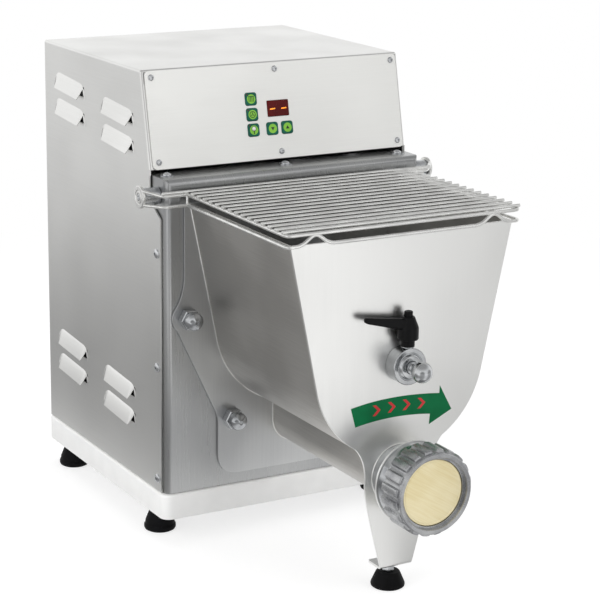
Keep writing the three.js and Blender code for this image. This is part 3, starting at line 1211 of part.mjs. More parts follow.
/** Turned steel boss of the front bearing, with the bore of the pull pin and the clamp screw's hole. */
function bearingBoss() {
  const nose = -(PLATE_REAR - GAP);
  const seat = -(HOPPER_REACH + GAP);
  const bore = PIN_RADIUS + RUN;
  const body = turnedAlongY([
    [bore, nose], [BOSS_NOSE, nose], [BOSS_NOSE, seat], [BOSS_RADIUS, seat],
      [BOSS_RADIUS, BOSS_STEP + PIN_CHAMFER - BOSS_FACE],
    [BOSS_RADIUS - PIN_CHAMFER, BOSS_STEP - BOSS_FACE], [BOSS_RADIUS - BOSS_STEP - PIN_CHAMFER,
      BOSS_STEP - BOSS_FACE],
    [BOSS_RADIUS - 2 * BOSS_STEP, -BOSS_FACE], [bore, -BOSS_FACE], [bore, nose]]);
  return cut(body, rodUp(LEVER_SCREW + RUN, 0, BOSS_RADIUS + OVERRUN, 0, -LEVER_Y, TINY));
}

/** Pull pin: the bearing spigot, its neck, and the ball to pull it out by. */
function pullPin() {
  const ballBack = BALL_RADIUS * 0.9;
  const ball = [];
  for (let i = 0; i <= BALL_STEPS; i += 1) {
    const angle = Math.PI * i / BALL_STEPS;
    ball.push([BALL_RADIUS * Math.sin(angle), -BALL_CENTRE - BALL_RADIUS * Math.cos(angle)]);
  }
  ball[0][0] = 0;
  ball.splice(BALL_STEPS, 1);
  return turnedAlongY([
    ...ball, [PIN_NECK, ballBack - BALL_CENTRE], [PIN_NECK, -BOSS_FACE - BOSS_STEP],
      [PIN_RADIUS, -BOSS_FACE - BOSS_STEP],
    [PIN_RADIUS, -PIN_NOSE - PIN_CHAMFER], [PIN_RADIUS - PIN_CHAMFER, -PIN_NOSE], [0, -PIN_NOSE]], SMALL);
}

const collarFoot = BOSS_RADIUS + GAP;
const hubFoot = collarFoot + LEVER_COLLAR_HEIGHT + GAP;
const hubHead = hubFoot + LEVER_HUB_HEIGHT;
const shankTop = hubHead - LEVER_LIFT;
const counterboreFloor = hubHead - 2 * LEVER_LIFT; // lets the lever rise round the button

/** Clamp screw: its tip bears on the pull pin, its collar sits over the boss, its shank carries the lever. */
function clampScrew() {
  const tip = PIN_RADIUS + GAP;
  return turnedUp([
    [0, tip], [LEVER_SCREW, tip], [LEVER_SCREW, collarFoot], [LEVER_COLLAR, collarFoot],
    [LEVER_COLLAR, collarFoot + LEVER_COLLAR_HEIGHT], [LEVER_SCREW, collarFoot + LEVER_COLLAR_HEIGHT],
    [LEVER_SCREW, shankTop], [0, shankTop]], TINY);
}

/** Moulded clamp lever: a tapering hub and an arm that rises towards its round tip. */
function clampLever() {
  const hub = turnedUp([
    [0, hubFoot], [LEVER_NECK, hubFoot], [LEVER_NECK, hubFoot + LEVER_NECK_HEIGHT],
    [LEVER_HUB, hubFoot + LEVER_NECK_HEIGHT + PIN_CHAMFER], [LEVER_HUB,
      hubFoot + LEVER_HUB_HEIGHT * 0.64],
    [LEVER_HUB_TOP, hubHead], [0, hubHead]]);
  const armZ = hubFoot + LEVER_ARM_UP;
  const geometry = new THREE.CylinderGeometry(LEVER_ARM_TIP, LEVER_ARM_ROOT,
    Math.hypot(LEVER_ARM, LEVER_RISE), TINY, 1);
  geometry.translate(0, Math.hypot(LEVER_ARM, LEVER_RISE) / 2, 0);
  geometry.rotateZ(Math.atan2(LEVER_ARM, LEVER_RISE));
  geometry.rotateX(Math.PI / 2);
  const arm = solid(geometry).translate([0, 0, armZ]);
  const tip = solid(new THREE.SphereGeometry(LEVER_ARM_TIP, TINY, TINY / 2)).translate([-LEVER_ARM, 0,
    armZ + LEVER_RISE]);
  const bore = rodUp(LEVER_SCREW + RUN, hubFoot - OVERRUN, hubHead + OVERRUN, 0, 0, TINY);
  const counterbore = rodUp(LEVER_BUTTON + RUN, counterboreFloor, hubHead + OVERRUN, 0, 0, TINY);
  return cut(join(hub, arm, tip), bore, counterbore);
}

function leverButton() {
  const head = hubHead + LEVER_BUTTON_PROUD;
  return turnedUp([
    [0, shankTop + GAP], [LEVER_BUTTON, shankTop + GAP], [LEVER_BUTTON, head - PIN_CHAMFER],
    [LEVER_BUTTON - PIN_CHAMFER, head], [0, head]], TINY);
}

const mixerAxis = [0, 0, MIXER_Z];
const leverAxis = [0, -LEVER_Y, MIXER_Z];
add('mixing_shaft', mixingShaft(), machinedSteel(), machine, mixerAxis);
add('bearing_boss', bearingBoss(), machinedSteel(), machine, mixerAxis);
add('pull_pin', pullPin(), machinedSteel(), machine, mixerAxis);
add('clamp_screw', clampScrew(), machinedSteel(), machine, leverAxis);
add('clamp_lever', clampLever(), blackPlastic(), machine, leverAxis);
add('lever_button', leverButton(), blackPlastic(), machine, leverAxis);

// Wire guard over the trough, hinged on two hubs at the sides of the front cover

/** Grille: two frame wires, one above the other, joined by cross bars and by two humps at the front. */
function guardGrille() {
  const rear = -GUARD_REAR;
  const frame = (z, front) => [[-GUARD_HALF, rear, z], [-GUARD_HALF, -GUARD_FRONT, z], ...front,
    [GUARD_HALF, -GUARD_FRONT, z], [GUARD_HALF, rear, z]];
  const humps = [-HUMP_X, HUMP_X].flatMap((x) => [
    [x - HUMP_HALF, -GUARD_FRONT, GUARD_LOWER_Z], [x, -GUARD_FRONT, GUARD_UPPER_Z],
      [x + HUMP_HALF, -GUARD_FRONT, GUARD_LOWER_Z]]);
  const upper = wire(frame(GUARD_UPPER_Z, []));
  const lower = wire(frame(GUARD_LOWER_Z, humps));
  const barZ = GUARD_UPPER_Z + 2 * WIRE - WELD_DEPTH;
  const bars = [];
  for (let i = 0; i < GUARD_BARS; i += 1) {
    const y = rear - i * (GUARD_FRONT - GUARD_REAR - 2.5 * WIRE) / (GUARD_BARS - 1);
    bars.push(turnedAlongX([
      [0, -GUARD_HALF - WIRE], [WIRE, -GUARD_HALF - WIRE], [WIRE, GUARD_HALF + WIRE],
        [0, GUARD_HALF + WIRE]], WIRE_SIDES)
      .translate([0, y, barZ]));
  }
  const posts = [-1, 1].map((side) => rodUp(WIRE, GUARD_LOWER_Z, GUARD_UPPER_Z, side * GUARD_HALF, rear,
    WIRE_SIDES));
  return join(upper, lower, ...bars, ...posts);
}

/** Hinge arm: a disc that turns on the hub, and two wires bent round the cover's corner to the grille. */
function guardArm(side) {
  const disc = turnedAlongX([
    [HINGE_BOLT + RUN, -WIRE], [HINGE_DISC, -WIRE], [HINGE_DISC, WIRE], [HINGE_BOLT + RUN, WIRE],
      [HINGE_BOLT + RUN, -WIRE]])
    .translate([side * ARM_X, HINGE_Y, HINGE_Z]);
  const arm = (start, z) => wire([
    [side * ARM_X, HINGE_Y - HINGE_DISC / 2, start], [side * ARM_X, -GUARD_REAR, z],
    [side * (GUARD_HALF + WIRE + GAP), -GUARD_REAR, z]], WIRE, 2 * GUARD_BEND);
  const eye = turnedAlongX([[0, -2 * WIRE], [HINGE_BOLT + RUN, -2 * WIRE], [HINGE_BOLT + RUN, 2 * WIRE],
    [0, 2 * WIRE]])
    .translate([side * ARM_X, HINGE_Y, HINGE_Z]);
  const wires = join(arm(HINGE_Z + ARM_SPLAY, GUARD_UPPER_Z), arm(HINGE_Z - ARM_SPLAY, GUARD_LOWER_Z));
  return cut(join(disc, wires), eye);
}

/** Fixed hub of the hinge, with the bolt through the cover's side fold and the arm's disc. */
function hingePin(side) {
  const inner = COVER_HALF + GAP;
  const end = ARM_X + WIRE;
  const profile = [
    [0, COVER_HALF - 4 * SHEET], [HINGE_BOLT, COVER_HALF - 4 * SHEET], [HINGE_BOLT, inner],
      [HINGE_HUB, inner],
    [HINGE_HUB, HUB_OUTER], [HINGE_BOLT, HUB_OUTER], [HINGE_BOLT, end], [0, end]];
  const body = turnedAlongX(profile);
  return (side > 0 ? body : body.mirror([1, 0, 0])).translate([0, HINGE_Y, HINGE_Z]);
}

/** Magnetic guard sensor on the inside of the cover's side fold, beside the left hinge. */
function guardSensor() {
  const right = SHEET + GAP - COVER_HALF + SENSOR_WIDTH;
  const rear = HINGE_Y + SENSOR_HEIGHT / 2;
  const low = HINGE_Z - HINGE_HUB - SENSOR_LENGTH;
  return block(right - SENSOR_WIDTH, right, rear - SENSOR_HEIGHT, rear, low, low + SENSOR_LENGTH);
}

add('guard_grille', guardGrille(), machinedSteel());
add('guard_arm_left', guardArm(-1), machinedSteel());
add('guard_arm_right', guardArm(1), machinedSteel());
add('hinge_pin_left', hingePin(-1), machinedSteel());
add('hinge_pin_right', hingePin(1), machinedSteel());
add('guard_sensor', guardSensor(), blackPlastic());

export default part;
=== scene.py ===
"""Counter-top pasta machine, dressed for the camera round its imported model.

Sizes are millimetres in the machine's own frame: X to the right seen from the front, Y to the back from
the face of the front cover, Z up from the table. row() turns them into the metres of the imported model.
"""

from __future__ import annotations

import json
import logging
import math
from abc import ABC, abstractmethod
from collections import Counter
from collections.abc import Callable, Sequence
from dataclasses import dataclass, field
from enum import Enum

import bmesh
import bpy
from mathutils import Matrix, Vector
from mathutils.geometry import tessellate_polygon

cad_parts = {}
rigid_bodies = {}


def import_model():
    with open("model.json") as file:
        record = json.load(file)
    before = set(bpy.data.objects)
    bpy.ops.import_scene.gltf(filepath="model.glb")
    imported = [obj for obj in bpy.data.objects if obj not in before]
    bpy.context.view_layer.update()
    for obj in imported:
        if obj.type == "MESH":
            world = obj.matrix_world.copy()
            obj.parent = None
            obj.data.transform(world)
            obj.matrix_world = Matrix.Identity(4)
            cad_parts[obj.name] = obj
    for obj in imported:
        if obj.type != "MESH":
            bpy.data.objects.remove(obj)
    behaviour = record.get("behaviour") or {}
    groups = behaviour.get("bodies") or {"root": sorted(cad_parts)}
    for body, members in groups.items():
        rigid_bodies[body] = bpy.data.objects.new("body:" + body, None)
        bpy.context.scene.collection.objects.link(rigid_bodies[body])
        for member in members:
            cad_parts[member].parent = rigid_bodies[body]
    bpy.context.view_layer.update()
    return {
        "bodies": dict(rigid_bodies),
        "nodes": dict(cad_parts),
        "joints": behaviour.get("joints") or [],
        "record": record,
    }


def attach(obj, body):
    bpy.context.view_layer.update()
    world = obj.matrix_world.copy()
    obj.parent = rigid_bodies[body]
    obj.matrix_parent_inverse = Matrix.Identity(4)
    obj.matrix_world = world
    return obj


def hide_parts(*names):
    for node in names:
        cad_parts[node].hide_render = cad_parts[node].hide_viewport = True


log = logging.getLogger("pasta_machine")

MM = 0.001
MACHINE_Y = 23.0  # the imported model's origin behind the face of the front cover
SHARP = math.radians(32.0)  # faces that meet at more than this keep a crisp edge
TAU = 2 * math.pi
SEAM = 1e-3  # points nearer than this, in millimetres, are one point
SUNK = 0.02  # how far a print reaches into the face below it
WAVE = 0.314  # length of a wave of the wave texture at a scale of one

Pair = tuple[float, float]
Triple = tuple[float, float, float]
Profile = tuple[Pair, ...]
Outline = Sequence[Pair]
Lay = Callable[[float, float, float], Triple]
Socket = bpy.types.NodeSocket


def row(x: float, y: float, z: float) -> Vector:
    """Turns a place in the machine's frame, in millimetres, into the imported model's metres."""
    return Vector((x, y - MACHINE_Y, z)) * MM


def linear(code: str) -> tuple[float, float, float, float]:
    """Turns an sRGB colour of six hex digits after a hash into linear RGBA, its alpha one."""
    levels = [int(code[i:i + 2], 16) / 255 for i in (1, 3, 5)]
    return (*(v / 12.92 if v <= 0.04045 else ((v + 0.055) / 1.055) ** 2.4 for v in levels), 1.0)


# Outlines

def turns(first: float, last: float, steps: int) -> list[float]:
    """Gives evenly spaced angles in radians between two angles in degrees, both included."""
    return [math.radians(first + (last - first) * i / steps) for i in range(steps + 1)]


def quarter(radius: float, steps: int) -> list[Pair]:
    """Gives how far a rounded edge stands in from its side face and its end face, side face first."""
    return [(radius * (1 - math.cos(a)), radius * (1 - math.sin(a))) for a in turns(0, 90, steps)]


def arc(cx: float, cy: float, radius: float, start: float, end: float, steps: int = 12) -> list[Pair]:
    """Gives points along an arc, its ends included.

    Args:
        cx: Centre, first coordinate.
        cy: Centre, second coordinate.
        radius: Radius in millimetres.
        start: First angle in degrees.
        end: Last angle in degrees.
        steps: Straight pieces that the arc is drawn in.

    Returns:
        The points in order.
    """
    return [(cx + radius * math.cos(a), cy + radius * math.sin(a)) for a in turns(start, end, steps)]


def circle(radius: float, cx: float = 0.0, cy: float = 0.0, sides: int = 36) -> list[Pair]:
    """Gives the outline of a circle."""
    return arc(cx, cy, radius, 0, 360 - 360 / sides, sides - 1)


def bow(start: Sequence[float], pull: Sequence[float], end: Sequence[float], steps: int = 10) -> list[tuple]:
    """Gives points along a curve from start to end that leaves and arrives in the direction of pull."""
    shares = [i / steps for i in range(steps + 1)]
    return [tuple((1 - t) ** 2 * s + 2 * t * (1 - t) * p + t * t * e for s, p, e in zip(start, pull, end))
            for t in shares]


def rounded(width: float, height: float, radius: float, cx: float = 0.0, cy: float = 0.0,
            steps: int = 8) -> list[Pair]:
    """Gives the outline of a rectangle with round corners.

    Args:
        width: First side in millimetres.
        height: Second side.
        radius: Radius of the corners.
        cx: Centre, first coordinate.
        cy: Centre, second coordinate.
        steps: Straight pieces in each corner.

    Returns:
        The outline, anticlockwise from its lower right corner.
    """
    x, y = width / 2 - radius, height / 2 - radius
    points: list[Pair] = []
    for sx, sy, first in ((1, -1, -90), (1, 1, 0), (-1, 1, 90), (-1, -1, 180)):
        points += arc(cx + sx * x, cy + sy * y, radius, first, first + 90, steps)
    return points


def eased_rims(width: float, height: float, radius: float, cx: float, cy: float, low: float, high: float,
               ease: float) -> list[tuple[list[Pair], float]]:
    """Gives the outlines of a round-cornered plate, from its lower face to its eased upper one.

    Args:
        width: First side in millimetres.
        height: Second side.
        radius: Radius of the corners.
        cx: Centre, first coordinate.
        cy: Centre, second coordinate.
        low: Level of the lower face.
        high: Level of the upper face.
        ease: Radius that breaks the upper edge.

    Returns:
        Each outline with its level.
    """
    rims = [(rounded(width, height, radius, cx, cy), low)]
    for inset, drop in quarter(ease, 5):
        rims.append((rounded(width - 2 * inset, height - 2 * inset, radius - inset, cx, cy), high - drop))
    return rims


def eased(corners: Sequence[Triple], radius: float, steps: int = 8) -> list[Vector]:
    """Gives a path of straight runs with its corners rounded.

    Args:
        corners: The path's corners in millimetres.
        radius: How far from a corner its bend begins.
        steps: Straight pieces in each bend.

    Returns:
        The path's points.
    """
    places = [Vector(c) for c in corners]
    path = [places[0]]
    for before, corner, after in zip(places, places[1:], places[2:]):
        reach = min(radius, (before - corner).length / 2, (after - corner).length / 2)
        first, last = (corner + (other - corner).normalized() * reach for other in (before, after))
        path += [Vector(p) for p in bow(first, corner, last, steps)]
    path.append(places[-1])
    return path


def upright(across: float, up: float, back: float) -> Triple:
    """Stands an outline up, facing the front."""
    return across, back, up


class Axis(Enum):
    """The direction that a turned piece's axis follows."""

    X = "x"
    Y = "y"
    Z = "z"

    def place(self, radius: float, angle: float, along: float) -> Vector:
        """Gives the point at a radius and an angle about this axis."""
        across, up = radius * math.cos(angle), radius * math.sin(angle)
        places = {Axis.X: (along, across, up), Axis.Y: (across, along, up), Axis.Z: (across, up, along)}
        return Vector(places[self])


# Finishes

@dataclass(frozen=True)
class Nodes:
    """A node tree in the making."""

    tree: bpy.types.NodeTree

    @classmethod
    def of(cls, owner: bpy.types.Material | bpy.types.World) -> Nodes:
        """Empties the tree of a material or a world, to draw a new one."""
        owner.use_nodes = True
        owner.node_tree.nodes.clear()
        return cls(owner.node_tree)

    def add(self, kind: str, inputs: dict[str | int, object] | None = None) -> bpy.types.NodeOutputs:
        """Adds a node to the tree.

        Args:
            kind: The node's type name.
            inputs: Values by property name, and values or source sockets by socket name or number.

        Returns:
            The new node's outputs.
        """
        node = self.tree.nodes.new(kind)
        for key, value in (inputs or {}).items():
            if isinstance(value, Socket):
                self.tree.links.new(value, node.inputs[key])
            elif isinstance(key, str) and hasattr(node, key):
                setattr(node, key, value)
            else:
                node.inputs[key].default_value = value
        return node.outputs

    def calc(self, operation: str, *values: Socket | float) -> Socket:
        """Adds a calculation on some values."""
        return self.add("ShaderNodeMath", {"operation": operation, **dict(enumerate(values))})[0]

    def product(self, *factors: Socket) -> Socket:
        """Multiplies values."""
        result = factors[0]
        for factor in factors[1:]:
            result = self.calc("MULTIPLY", result, factor)
        return result

    def grain(self, size: Triple, detail: float = 2.0, lean: float = 0.0) -> Socket:
        """Adds a noise whose lumps have a real size.

        Args:
            size: Size of a lump along X, Y and Z, in millimetres.
            detail: How many finer octaves it has.
            lean: Turn of the pattern about Y, in degrees.

        Returns:
            The noise's value, from nought to one.
        """
        where = self.add("ShaderNodeTexCoord")["Object"]
        if lean:
            where = self.add("ShaderNodeMapping", {
                "vector_type": "TEXTURE", "Rotation": (0.0, math.radians(lean), 0.0), "Vector": where})[0]
        scaled = self.add("ShaderNodeMapping", {
            "vector_type": "POINT", "Scale": [1 / (s * MM) for s in size], "Vector": where})[0]
        return self.add("ShaderNodeTexNoise", {
            "Scale": 1.0, "Detail": detail, "Roughness": 0.5, "Vector": scaled})[0]

    def spread(self, value: Socket, low: float, high: float, near: float = 0.35, far: float = 0.65,
               smooth: bool = False) -> Socket:
        """Maps a range of values onto another.

        Args:
            value: The value, such as a noise, whose middle is used unless near and far are given.
            low: Result at the near end.
            high: Result at the far end.
            near: First end of the value's range.
            far: Last end of the value's range.
            smooth: Whether the result sets off and arrives gently.

        Returns:
            The result.
        """
        return self.add("ShaderNodeMapRange", {
            "interpolation_type": "SMOOTHSTEP" if smooth else "LINEAR", "From Min": near, "From Max": far,
            "To Min": low, "To Max": high, "Value": value})[0]

    def slope(self, value: Socket, near: float, far: float, low: float = 0.0, high: float = 1.0) -> Socket:
        """Runs smoothly from one level to another as a value goes from near to far."""
        return self.spread(value, low, high, near, far, True)

    def blend(self, share: Socket, first: str, second: str) -> Socket:
        """Mixes two hex colours by a share."""
        return self.add("ShaderNodeMix", {
            "data_type": "RGBA", 0: share, 6: linear(first), 7: linear(second)})[2]

    def relief(self, height: Socket, depth: float, strength: float) -> Socket:
        """Adds a bump of a real depth in millimetres."""
        return self.add("ShaderNodeBump", {"Distance": depth * MM, "Strength": strength, "Height": height})[0]


@dataclass(frozen=True)
class Finish(ABC):
    """A surface finish that makes its own procedural material, between a light and a dark colour."""

    name: str
    slot: str
    light: str
    dark: str
    gloss: Pair

    def material(self) -> bpy.types.Material:
        """Gives the finish's material, made the first time it is asked for."""
        found = bpy.data.materials.get(self.name)
        if found:
            return found
        material = bpy.data.materials.new(self.name)
        nodes = Nodes.of(material)
        shader = nodes.add("ShaderNodeBsdfPrincipled", self.looks(nodes))
        nodes.add("ShaderNodeOutputMaterial", {"Surface": shader["BSDF"]})
        return material

    @abstractmethod
    def looks(self, nodes: Nodes) -> dict[str, Socket | float]:
        """Draws the finish's patterns and gives what the shader's inputs take."""

    def metal(self, nodes: Nodes, tone: Socket, sheen: Socket, relief: Socket,
              metallic: float = 1.0) -> dict[str, Socket | float]:
        """Gives what a metal's shader takes: a tone between its colours, its roughness and its relief."""
        return {"Base Color": nodes.blend(tone, self.light, self.dark), "Roughness": sheen, "Normal": relief,
                "Metallic": metallic}


@dataclass(frozen=True)
class BrushedSteel(Finish):
    """Stainless sheet, linished along one direction: fine parallel scratches under a cloudy sheen."""

    streak: Triple
    cloud: float
    depth: float = 0.012
    metallic: float = 1.0

    def looks(self, nodes: Nodes) -> dict[str, Socket | float]:
        """Draws the scratches coarser than the real 0.1 mm ones, so that they show."""
        scratch = nodes.grain(self.streak, 3.0)
        cloud = nodes.spread(nodes.grain((self.cloud,) * 3, 1.0), -0.3, 0.6)
        tone = nodes.spread(nodes.calc("MULTIPLY_ADD", scratch, 0.55, cloud), 0.0, 1.0, 0.1, 0.8)
        return self.metal(nodes, tone, nodes.spread(scratch, *self.gloss),
                          nodes.relief(scratch, self.depth, 0.35), self.metallic)


@dataclass(frozen=True)
class TurnedMetal(Finish):
    """Bar stock turned on a lathe: tool rings about the axis and a crisp shine."""

    ring_axis: str = "Y"
    centre: Triple = (0.0, 0.0, 0.0)
    ring_pitch: float = 0.9

    def looks(self, nodes: Nodes) -> dict[str, Socket | float]:
        """Draws the tool rings coarser than the real 0.15 mm feed."""
        where = nodes.add("ShaderNodeTexCoord")["Object"]
        centred = nodes.add("ShaderNodeMapping", {
            "vector_type": "TEXTURE", "Location": row(*self.centre), "Vector": where})[0]
        rings = nodes.add("ShaderNodeTexWave", {
            "wave_type": "RINGS", "rings_direction": self.ring_axis, "Scale": WAVE / (self.ring_pitch * MM),
            "Distortion": 0.6, "Detail": 2.0, "Detail Scale": 40.0, "Vector": centred})[1]
        smear = nodes.spread(nodes.grain((14.0,) * 3), 0.0, 0.65)
        tone = nodes.calc("MULTIPLY_ADD", rings, 0.35, smear)
        return self.metal(nodes, tone, nodes.spread(tone, *self.gloss, 0.1, 0.9),
                          nodes.relief(rings, 0.004, 0.3))


@dataclass(frozen=True)
class DrawnWire(Finish):
    """Electropolished stainless wire: bright, with faint drawing lines."""

    def looks(self, nodes: Nodes) -> dict[str, Socket | float]:
        """Gives the wire its long smears."""
        line = nodes.grain((26.0, 9.0, 9.0))
        return self.metal(nodes, nodes.spread(line, 0.0, 1.0), nodes.spread(line, *self.gloss),
                          nodes.relief(line, 0.006, 0.15))


@dataclass(frozen=True)
class CastMetal(Finish):
    """Die-cast aluminium, tumbled: a fine even grain that dulls the shine."""

    lump: float = 0.7

    def looks(self, nodes: Nodes) -> dict[str, Socket | float]:
        """Adds the grain of the mould, drawn at the size of its coarsest grit."""
        grit = nodes.grain((self.lump,) * 3, 3.0)
        cloud = nodes.spread(nodes.grain((18.0,) * 3), 0.0, 1.0)
        return self.metal(nodes, cloud, nodes.spread(grit, *self.gloss), nodes.relief(grit, 0.03, 0.25), 0.85)


@dataclass(frozen=True)
class BrushedBronze(Finish):
    """Aluminium bronze, faced and then rubbed with fine abrasive in one slanting direction."""

    lean: float = 32.0

    def looks(self, nodes: Nodes) -> dict[str, Socket | float]:
        """Draws the slanting rub marks, coarse enough to show."""
        rub = nodes.grain((26.0, 26.0, 0.6), 3.0, self.lean)
        cloud = nodes.spread(nodes.grain((34.0, 34.0, 26.0), 1.0, self.lean), -0.2, 0.4)
        tone = nodes.calc("MULTIPLY_ADD", nodes.spread(rub, 0.0, 1.0), 0.7, cloud)
        return self.metal(nodes, tone, nodes.spread(rub, *self.gloss), nodes.relief(rub, 0.005, 0.2), 0.85)


@dataclass(frozen=True)
class Moulded(Finish):
    """Moulded or painted surface: its colour, a faint mottle and the fine texture of its mould."""

    lump: float
    depth: float
    coat: float = 0.0
    specular: float = 0.5
    glow: float = 0.0

    def looks(self, nodes: Nodes) -> dict[str, Socket | float]:
        """Draws the mottle large and the texture at its real grain."""
        grit = nodes.grain((self.lump,) * 3)
        mottle = nodes.spread(nodes.grain((24.0,) * 3), 0.0, 1.0)
        colour = nodes.blend(mottle, self.light, self.dark)
        inputs = {"Base Color": colour, "Roughness": nodes.spread(grit, *self.gloss),
                  "Normal": nodes.relief(grit, self.depth, 0.3), "Coat Weight": self.coat,
                  "Specular IOR Level": self.specular}
        if self.glow:
            inputs |= {"Emission Color": colour, "Emission Strength": self.glow}
        return inputs


# Stainless sheet of the casing, linished front to back. The eye sees a soft, even grey.
CASING_STEEL = BrushedSteel(
    "linished_stainless_casing", "satin_steel", "#f0f0ee", "#e8e8e6", (0.28, 0.34),
    (70.0, 70.0, 0.9), 160.0, 0.005)
# The cover's sheet keeps its mill polish; its darker colours are a painted reflection of the trough.
COVER_STEEL_PAINTED_REFLECTION = BrushedSteel(
    "polished_stainless_cover_painted_reflection", "satin_steel", "#bcbdbd", "#b0b1b2", (0.27, 0.33),
    (0.9, 70.0, 70.0), 120.0, 0.002)
# The control plate is a pale anodised sheet with an almost even face.
PANEL_STEEL = BrushedSteel(
    "anodised_control_plate", "panel_steel", "#f5f5f2", "#efefec", (0.34, 0.42),
    (60.0, 0.8, 0.8), 140.0, 0.003, 0.75)
# The trough's side sheet, glass-bead blasted after rolling: a warm grey, darkened as painted shade.
TROUGH_STEEL_PAINTED_SHADE = BrushedSteel(
    "blasted_stainless_trough_painted_shade", "satin_steel", "#cbc9c5", "#bbb9b5", (0.34, 0.44),
    (60.0, 50.0, 1.1), 90.0, 0.005)
# The front plate is ground upright; its pale colours are painted light, as it faces the light.
FRONT_STEEL_PAINTED_LIGHT = BrushedSteel(
    "ground_stainless_front_plate_painted_light", "satin_steel", "#f6f6f4", "#f0f0ee", (0.28, 0.34),
    (0.7, 60.0, 80.0), 140.0, 0.003)
# The rear plate of the trough has the same grain; its darker colours are painted shade, the trough's shade.
REAR_STEEL_PAINTED_SHADE = BrushedSteel(
    "ground_stainless_rear_plate_painted_shade", "satin_steel", "#cdcece", "#bebfc0", (0.28, 0.36),
    (0.7, 60.0, 80.0), 100.0, 0.004)
GROUND_STEEL = BrushedSteel(
    "ground_carbon_steel", "machined_steel", "#a6a8aa", "#8d9092", (0.3, 0.42),
    (30.0, 30.0, 0.8), 60.0)
TURNED_STEEL = TurnedMetal(
    "turned_stainless_boss", "machined_steel", "#cccecf", "#aeb0b3", (0.14, 0.24), "Y", (0.0, 0.0, 263.0))
TURNED_BARREL = TurnedMetal(
    "turned_stainless_barrel", "machined_steel", "#cbcdcf", "#9fa1a4", (0.1, 0.18), "Y", (0.0, 0.0, 137.0))
TURNED_SMALL = TurnedMetal(
    "turned_stainless_fastener", "machined_steel", "#e0e2e4", "#b4b6b9", (0.14, 0.26), "Z", ring_pitch=0.7)
BUSH_BRONZE = TurnedMetal(
    "turned_bronze_bush", "brass", "#c9a765", "#a9874a", (0.25, 0.35), "Y", (0.0, 0.0, 263.0))
# The bead is dressed bright, so that it draws a pale line round the trough.
WELD_STEEL = TurnedMetal("dressed_weld_bead", "satin_steel", "#f0f0ee", "#dededc", (0.3, 0.4))
WIRE_STEEL = DrawnWire("electropolished_wire", "wire_steel", "#f6f6f4", "#e4e4e2", (0.24, 0.34))
DIE_BRONZE = BrushedBronze("rubbed_bronze_die", "brass", "#fcf0c8", "#f3e4b4", (0.32, 0.46))
CAST_ALUMINIUM = CastMetal("tumbled_cast_aluminium", "cast_aluminium", "#b8b9ba", "#96979a", (0.2, 0.34))
CASE_ALUMINIUM = CastMetal("sand_cast_gear_case", "cast_aluminium", "#8f9193", "#7c7e80", (0.5, 0.62), 1.6)
# Stove enamel on pressed steel: white, a little orange peel, a soft coat of gloss.
BASE_ENAMEL = Moulded(
    "white_stove_enamel", "white_enamel", "#f8f8f7", "#f4f4f3", (0.3, 0.38), 2.6, 0.012, coat=0.2)
MOTOR_PAINT = Moulded("grey_motor_paint", "motor_paint", "#6f7478", "#62676b", (0.5, 0.6), 1.2, 0.03)
FOOT_RUBBER = Moulded(
    "black_natural_rubber", "black_rubber", "#101012", "#0a0a0b", (0.5, 0.62), 0.9, 0.03, specular=0.1)
LEVER_PLASTIC = Moulded(
    "black_glass_filled_nylon", "black_plastic", "#0c0c0d", "#080809", (0.34, 0.44), 0.7, 0.02, specular=0.14)
BOARD_RESIN = Moulded("green_circuit_resin", "circuit_board", "#1f6a3d", "#175431", (0.4, 0.55), 0.6, 0.02)
KEY_FILM = Moulded(
    "teal_key_film", "key_plastic", "#0c5c4b", "#095141", (0.36, 0.46), 0.5, 0.004, specular=0.3)
KEY_DISC_PRINT = Moulded("lime_key_print", "key_plastic", "#86c442", "#7aba3a", (0.4, 0.5), 0.5, 0.003)
KEY_MARK_PRINT = Moulded("dark_key_print", "key_plastic", "#1d2f24", "#16261d", (0.4, 0.5), 0.5, 0.003)
KEY_PALE_PRINT = Moulded("pale_key_print", "key_plastic", "#f1f3ee", "#e6e9e2", (0.4, 0.5), 0.5, 0.003)
KEY_LAMP = Moulded("dark_red_key_lamp", "key_plastic", "#5a2b2c", "#4b2324", (0.2, 0.3), 0.5, 0.003)
SCREEN_FILTER = Moulded(
    "dark_red_display_filter", "display", "#5a0608", "#4c0506", (0.22, 0.28), 3.0, 0.001, specular=0.2)
SCREEN_DASH = Moulded(
    "amber_display_segment", "display", "#ffa23c", "#ff8f22", (0.3, 0.4), 0.8, 0.002, glow=0.8)
ARROW_PRINT = Moulded(
    "green_screen_print", "key_plastic", "#0c6a3f", "#095e37", (0.4, 0.5), 0.9, 0.003, specular=0.12)
CHEVRON_PRINT = Moulded("red_screen_print", "key_plastic", "#c9282d", "#bb2227", (0.4, 0.5), 0.9, 0.003)


# Making pieces

def triangles(outlines: Sequence[Outline]) -> list[tuple[int, ...]]:
    """Cuts a flat outline with holes into triangles, by the numbers of its points."""
    return tessellate_polygon([[Vector((a, b, 0.0)) for a, b in outline] for outline in outlines])


